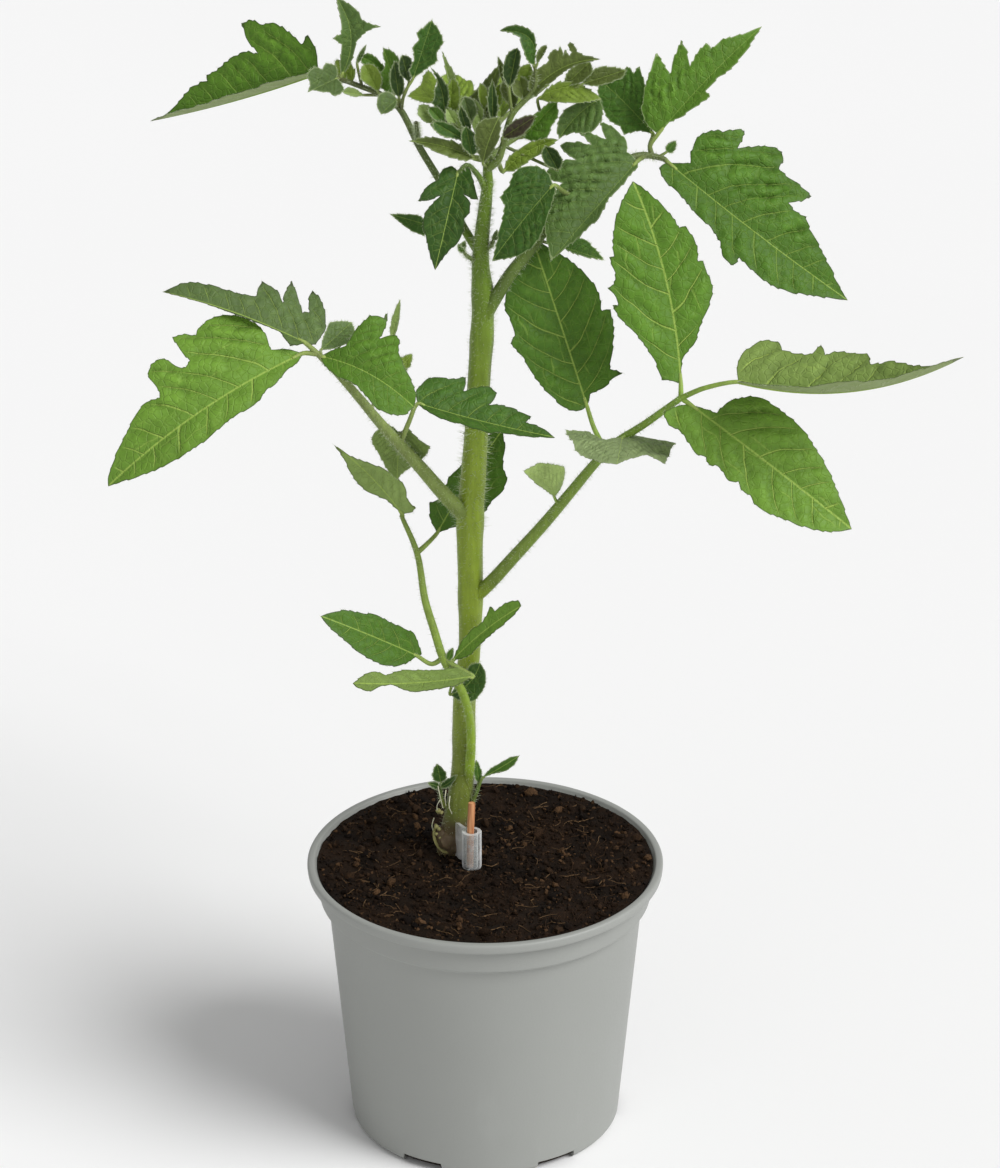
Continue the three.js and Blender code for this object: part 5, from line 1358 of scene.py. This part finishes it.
# The stem, from the root ball to the shoot tip, with its diameter at each point. It swells where
# leaves leave it, at places counted in the points of its path, by these shares. Its hairs come in
# three lots: how many, the longest, between which shares of the stem, and how thick.
STEM_PATH = [
    [446, 925, 0], [449, 852, 0], [459.5, 800, 0], [463.5, 760, 0], [464.5, 700, 0],
    [469.5, 650, 0], [470.5, 590, 0], [470, 530, 0], [473, 480, 0], [476.5, 430, 0],
    [479, 380, 0], [482, 335, 0], [483, 300, 0], [480.5, 262, 0], [482, 235, 0],
    [486, 200, 0], [488, 178, 0]]
STEM_THICK = [7.4, 9.2, 9.0, 8.3, 8.2, 7.8, 8.8, 9.4, 9.0, 8.3, 8.0, 7.9, 7.6, 6.0, 5.2, 4.4, 3.4]
STEM_SWELLS = ((5.85, 0.06), (7.15, 0.07), (10.9, 0.08), (12.2, 0.1), (3.4, 0.05))
STEM_HAIRS = ((3400, 2.0, 0.1, 0.8, 0.07), (1300, 2.8, 0.8, 1.0, 0.07), (520, 4.2, 0.54, 0.69, 0.1))

# The swollen graft at the foot of the stem: lumps with their radius, a ring of callus and root
# threads. The stem turns from bark to green between two heights.
GRAFT_TONE = paint(86, 74, 48)
CALLUS_TONE = paint(124, 120, 72)
ROOT_TONE = paint(206, 206, 178)
BARK_END, GREEN_START = 113, 120
GRAFT_LUMPS = [
    [447, 840, 2, 4.2, "bark"], [442, 834, 1, 3.2, "bark"], [451, 846, 2, 3.6, "bark"],
    [438.5, 811, 2.5, 1.0, "pale"], [436.5, 827, 2.2, 0.9, "pale"], [439, 829, 3.2, 0.7, "pale"],
    [436.5, 834, 3, 0.7, "pale"], [441.5, 812.5, 3.0, 0.7, "pale"], [440, 838, 4.4, 0.5, "pale"]]
LUMP_TONES = dict(bark=paint(84, 70, 50), pale=paint(136, 132, 84))
CALLUS_RING = [[436, 824, 1.5], [434, 834, 2.6], [437, 844, 3.8], [445, 851, 4.6], [456, 850, 4.6]]
CALLUS_THICK = [0.8, 1.1, 1.3, 1.4, 0.9]
ROOT_THREADS = [
    [[438, 786, 3], [440, 796, 4.4], [443, 808, 4.4]],
    [[446, 790, 4], [445, 798, 5], [446, 806, 4.6]],
    [[440, 800, 3], [437, 806, 3], [438, 814, 3]],
    [[434, 818, 1], [432, 826, 1], [435, 836, 2]],
    [[450, 796, 4], [449, 806, 5], [452, 814, 4.6]]]


def add_lump(piece, centre, radius, tone, seed):
    corners, faces = ball(3)
    rough = 1 + 0.12 * np.sin(corners @ (3.1, 4.7, 2.3) + seed) * np.sin(corners @ (5.1, -3.3, 4.1))
    piece.add(centre + corners * (radius * rough)[:, None], faces, STALK_SKIN, tone)


def make_stem():
    piece = Piece("main_stem")
    limb = Limb(all_seen(STEM_PATH), STEM_THICK, 2.0, 0.025)
    for place, amount in STEM_SWELLS:
        limb.swell(place / (len(STEM_PATH) - 1), amount, SWELL_REACH)
    limb.skin(piece, STALK_SKIN, NO_TONE, 24)
    heights = piece.corners[0][:, 2]
    barky = (1 - step_up(heights, BARK_END, GREEN_START))[:, None]
    piece.tones[0] = between(stem_tone(heights), np.array(GRAFT_TONE), barky)
    for lot in STEM_HAIRS:
        limb.hairs(piece, *lot)
    for seed, (*point, radius, kind) in enumerate(GRAFT_LUMPS):
        add_lump(piece, seen(point), radius, LUMP_TONES[kind], seed)
    ring = Limb(all_seen(CALLUS_RING), CALLUS_THICK, 0.7, 0.2)
    ring.skin(piece, STALK_SKIN, CALLUS_TONE, 10)
    for thread in ROOT_THREADS:
        root = Limb(all_seen(thread), [0.42, 0.22], 1.0, 0.0)
        root.skin(piece, STALK_SKIN, ROOT_TONE, 8)
    piece.build("stem")


# The pot: the corners of its turned profile, as radius, height and how far each is eased.
POT_CORNERS = [
    (0, 0, 0), (47.6, 0, 0.6), (49.4, 1.8, 0.9), (57.4, 89.8, 0.8), (60.4, 91.6, 0.8),
    (60.9, 100.2, 0.7), (64.6, 101.2, 0.9), (65.0, 105, 1.3), (62.3, 105, 0.8), (61.9, 104.0, 0.6),
    (59.6, 101, 0.6), (59.1, 92.5, 0.4), (56.6, 91, 0.4), (48.2, 1.6, 0.4), (0, 1.6, 0)]
POT_SEGMENTS = 192
POT_CREASE = 40

# The drain cuts start this far from the middle, and narrow towards their top.
DRAINS = 6
DRAIN_TURN = math.radians(2)
DRAIN_START, DRAIN_LENGTH = 38, 27
DRAIN_WIDTH, DRAIN_TAPER = 17, 1.6
DRAIN_FOOT, DRAIN_HEIGHT = -1, 4.8


def rounded(corners):
    """A turned profile with each corner eased by its own radius."""
    points = []
    for k, (radius, height, ease) in enumerate(corners):
        here = np.array((radius, height), float)
        if not ease:
            points.append(here)
            continue
        before = np.array(corners[k - 1][:2], float) - here
        after = np.array(corners[k + 1][:2], float) - here
        first = here + unit(before) * min(ease, np.linalg.norm(before) / 2)
        last = here + unit(after) * min(ease, np.linalg.norm(after) / 2)
        for t in np.linspace(0, 1, 5):
            points.append(first * (1 - t) ** 2 + here * 2 * t * (1 - t) + last * t ** 2)
    return points


def add_turned(piece, profile, segments, finish, tone=NO_TONE):
    """A closed body turned round the upright axis, from a profile that starts and ends on it."""
    turns = np.linspace(0, FULL_TURN, segments, endpoint=False)
    rings = [np.stack((r * np.cos(turns), r * np.sin(turns), np.full(segments, z)), axis=1)
             for r, z in profile[1:-1]]
    corners = np.concatenate(rings + [[(0, 0, profile[0][1]), (0, 0, profile[-1][1])]])
    quads, fans = tube_faces(len(rings), segments)
    start = piece.add(corners, quads, finish, tone)
    piece.link(fans, finish, start)


def make_drain_cutter():
    made = bmesh.new()
    for k in range(DRAINS):
        turn = DRAIN_TURN + k * FULL_TURN / DRAINS
        for vert in bmesh.ops.create_cube(made, size=1)["verts"]:
            x, y, z = vert.co
            x = (x + 0.5) * DRAIN_LENGTH + DRAIN_START
            y *= DRAIN_WIDTH - (DRAIN_TAPER if z > 0 else 0)
            z = (z + 0.5) * DRAIN_HEIGHT + DRAIN_FOOT
            vert.co = Vector((x * math.cos(turn) - y * math.sin(turn),
                              x * math.sin(turn) + y * math.cos(turn), z)) * MM
    mesh = bpy.data.meshes.new("drain_cutter")
    made.to_mesh(mesh)
    made.free()
    return put("drain_cutter", mesh)


def cut_drains(pot):
    cutter = make_drain_cutter()
    modifier = pot.modifiers.new("drains", "BOOLEAN")
    modifier.operation, modifier.solver, modifier.object = "DIFFERENCE", "EXACT", cutter
    bpy.context.view_layer.update()
    cut = bpy.data.meshes.new_from_object(pot.evaluated_get(bpy.context.evaluated_depsgraph_get()))
    pot.modifiers.clear()
    pot.data = cut
    bpy.data.objects.remove(cutter)
    cut.set_sharp_from_angle(angle=math.radians(POT_CREASE))


def make_pot():
    piece = Piece("grey_pot")
    add_turned(piece, rounded(POT_CORNERS), POT_SEGMENTS, make_pot_plastic())
    cut_drains(piece.build("pot", POT_CREASE))


# The potting soil: a body with crumbs and fibres on it. Its top is turned flat at one height, and
# what is above the mark is then brought to the soil's own height, which rises towards the edge.
SOIL_EDGE = 61.2
SOIL_SIDE = [(0, 1.9), (47.8, 1.9), (56.2, 91.4), (58.6, 93.2), (59.2, 101.0), (SOIL_EDGE, 103.4)]
SOIL_FLAT, SOIL_MARK = 103, 102.9
SOIL_LEVEL, SOIL_RISE = 102.2, 1.6
SOIL_SEGMENTS = 160
SOIL_TONE = paint(27, 19, 12)
CLIP_FOOT = seen((471.8, 866.5, 11))
STEM_FOOT = seen((449, 852, 0))
CRUMB_TONES = [paint(18, 12, 8), paint(36, 25, 16), paint(56, 40, 26), paint(92, 68, 46)]

# The crumbs in two sorts: how many, the cuts of the ball they are made from, how rough they are,
# and the least and the greatest of their size. Their middles and whole bodies stay within two
# distances from the middle of the pot, and they keep off the clip and the stem.
CRUMBS = ((5400, 1, 0.26, 0.25, 0.8), (480, 2, 0.18, 0.6, 1.9))
CRUMB_REACH, CRUMB_LIMIT = 60.4, 61.0
CLIP_CLEAR, STEM_CLEAR = 4.0, 3.6

# The fibres: how many, how far out they start and may run, and their pale and dark tones.
FIBRES = 230
FIBRE_REACH, FIBRE_LIMIT = 56, 59.5
FIBRE_THICK = [0.36, 0.16]
FIBRE_TONES = (paint(124, 98, 70), paint(62, 45, 30))


def soil_height(x, y):
    radius = np.hypot(x, y)
    level = SOIL_LEVEL + SOIL_RISE * step_up(radius, 20, 60)
    relief = np.sin(x * 0.31 + y * 0.17) * np.cos(y * 0.27 - x * 0.12) * 0.5
    relief += np.sin(x * 0.9 + 2 * np.sin(y * 0.5)) * np.sin(y * 1.1 + x * 0.3) * 0.35
    return level + relief * (1 - 0.8 * step_up(radius, 56, SOIL_EDGE))


def soil_place(widest):
    """A place anywhere on the soil, and how far it is from the middle."""
    turn = chance.uniform(0, FULL_TURN)
    reach = widest * math.sqrt(chance.uniform(0, 1))
    return *polar(reach, turn), reach


def is_near(x, y, foot, reach):
    return math.hypot(x - foot[0], y - foot[1]) < reach


def add_crumbs(piece, finish, count, cuts, roughness, smallest, largest):
    form, faces = ball(cuts)
    made, linked, tones = [], [], []
    while len(made) < count:
        x, y, reach = soil_place(CRUMB_REACH)
        size = smallest + (largest - smallest) * chance.uniform(0, 1) ** 3
        if (is_near(x, y, CLIP_FOOT, CLIP_CLEAR + size) or reach + size > CRUMB_LIMIT
                or is_near(x, y, STEM_FOOT, STEM_CLEAR + size)):
            continue
        axes = np.linalg.qr(chance.normal(0, 1, (3, 3)))[0]
        rough = form * (1 + chance.normal(0, roughness, (len(form), 1)))
        body = (rough * (1.25, 0.95, 0.7) * size) @ axes
        linked.append(faces + len(made) * len(form))
        made.append(body + (x, y, soil_height(x, y) + size * 0.25))
        tone = CRUMB_TONES[min(int(chance.uniform(0, 1) ** 1.5 * 4), 3)]
        tones.append(np.tile(tone, (len(form), 1)))
    piece.add(np.concatenate(made), np.concatenate(linked), finish, np.concatenate(tones))


def add_fibre(piece, finish):
    x, y, _ = soil_place(FIBRE_REACH)
    heading = chance.uniform(0, 6.28)
    points = []
    for _ in range(4):
        points.append(np.array((x, y, soil_height(x, y) + chance.uniform(0.2, 0.8))))
        heading += chance.normal(0, 0.45)
        onward = polar(chance.uniform(1.0, 3.2), heading)
        x, y = x + onward[0], y + onward[1]
        if math.hypot(x, y) > FIBRE_LIMIT:
            x, y = x * 0.96, y * 0.96
    tone = FIBRE_TONES[0 if chance.uniform() < 0.45 else 1]
    Limb(points, FIBRE_THICK, 1.5, 0.0).skin(piece, finish, tone, 5)


def make_soil():
    piece = Piece("soil_and_crumbs")
    finish = make_soil_skin()
    top = [(r, SOIL_FLAT) for r in np.linspace(60.6, 1, 44)] + [(0, SOIL_FLAT)]
    add_turned(piece, SOIL_SIDE + top, SOIL_SEGMENTS, finish, SOIL_TONE)
    corners = piece.corners[0]
    above = corners[:, 2] > SOIL_MARK
    corners[above, 2] = soil_height(corners[above, 0], corners[above, 1])
    corners[above, 2] += chance.normal(0, 0.22, above.sum())
    for sort in CRUMBS:
        add_crumbs(piece, finish, *sort)
    for _ in range(FIBRES):
        add_fibre(piece, finish)
    piece.build("soil", 60)


# The wooden stick, whose end is a share of its thickness, and the split clip: a sleeve open on
# one side, with a wing. The wing's outline is how far out and how far across each corner is.
STICK_PATH = [[469, 925, 11.2], [470.4, 838, 11], [471.8, 803, 10.6]]
STICK_THICK = 2.6
STICK_END = 0.93
SLEEVE_OUTER, SLEEVE_INNER = 3.6, 2.3
SLEEVE_TURN, SLEEVE_OPENING = math.radians(113), math.radians(26)
CLIP_HEIGHT = 14.6
WING_TURN = math.radians(124)
WING_FOOT = 0.6
WING = [(2.6, 0), (5.9, 0), (8.9, 0), (9.2, 0.3), (9.2, 1.0), (8.9, 1.3), (5.9, 1.3), (2.6, 1.3)]
CLIP_EASE_IN, CLIP_EASE_UP = 0.15, 0.18


def make_stick():
    piece = Piece("wooden_stick")
    limb = Limb(all_seen(STICK_PATH), [STICK_THICK] * 3, 1.0, 0.012)
    limb.radii[-1] *= STICK_END
    limb.skin(piece, make_stick_wood(), NO_TONE, 24, cap=0.06)
    piece.build("support_stick", 35)


def add_plate(piece, outline, low, high, finish):
    """An upright closed body over a flat outline, with its top and foot edges eased. The second
    half of the outline runs back along the first."""
    inner = outline + units(outline.mean(0) - outline) * CLIP_EASE_IN
    levels = [(inner, low), (outline, low + CLIP_EASE_UP), (outline, high - CLIP_EASE_UP),
              (inner, high)]
    count = len(outline)
    corners = np.concatenate([np.column_stack((ring, np.full(count, z))) for ring, z in levels])
    start = piece.add(corners, tube_faces(len(levels), count)[0], finish)
    caps = []
    for k in range(count // 2 - 1):
        ring = (k, k + 1, count - 2 - k, count - 1 - k)
        caps.append(ring[::-1])
        caps.append(tuple(i + 3 * count for i in ring))
    piece.link(caps, finish, start)


def make_clip():
    piece = Piece("split_clip")
    finish = make_clip_silicone()
    foot, height = CLIP_FOOT[:2], CLIP_FOOT[2]
    top = height + CLIP_HEIGHT
    turns = np.linspace(SLEEVE_OPENING, FULL_TURN - SLEEVE_OPENING, 40) + SLEEVE_TURN
    sleeve = ([polar(SLEEVE_OUTER, turn) for turn in turns]
              + [polar(SLEEVE_INNER, turn) for turn in turns[::-1]])
    add_plate(piece, np.array(sleeve) + foot, height, top, finish)
    along = np.array(polar(1, WING_TURN))
    across = np.array((-along[1], along[0]))
    wing = [along * reach + across * off for reach, off in WING]
    add_plate(piece, np.array(wing) + foot, height + WING_FOOT, top, finish)
    piece.build("graft_clip", 35)


# The stage: camera, floor and soft light. A sun has a strength, the direction it shines towards
# and its width in degrees.
FLOOR_SIZE = 12
SKY_STRENGTH = 0.42
SUNS = (("key", 2.9, (-0.7, 0.4, -0.75), 36), ("fill", 0.6, (0.35, 1.0, 0.05), 70))


def make_camera():
    data = bpy.data.cameras.new("camera")
    data.sensor_width, data.sensor_fit = SENSOR, "AUTO"
    data.lens = FOCAL_PIXELS * SENSOR / PICTURE_HEIGHT
    data.clip_end = 20
    camera = put("camera", data)
    camera.location = EYE * MM
    camera.rotation_euler = (math.pi / 2 - VIEW_ELEVATION, 0, 0)
    bpy.context.scene.camera = camera


def make_floor():
    finish = Finish("pale_floor")
    colour = finish.blend(finish.grain(400, 1.0), (0.86, 0.86, 0.86), (0.88, 0.88, 0.88))
    bpy.ops.mesh.primitive_plane_add(size=FLOOR_SIZE, location=(0, 0, 0))
    floor = bpy.context.object
    floor.name = "floor"
    floor.data.materials.append(finish.close(finish.skin(colour, 0.9, {"Specular IOR Level": 0.1})))


def add_sun(name, strength, towards, width):
    data = bpy.data.lights.new(name, "SUN")
    data.energy = strength
    data.angle = math.radians(width)
    light = put(name, data)
    light.rotation_euler = Vector(towards).to_track_quat("-Z", "Y").to_euler()
    light.location = Vector(towards) * -2


def make_light():
    world = bpy.data.worlds.new("studio")
    bpy.context.scene.world = world
    world.use_nodes = True
    sky = world.node_tree.nodes["Background"].inputs
    sky["Color"].default_value = (1, 1, 1, 1)
    sky["Strength"].default_value = SKY_STRENGTH
    for sun in SUNS:
        add_sun(*sun)
    bpy.context.scene.view_settings.view_transform = "Standard"


make_camera()
make_floor()
make_light()
make_pot()
make_soil()
make_stem()
make_stick()
make_clip()
for node in LEAVES:
    make_leaf(node)
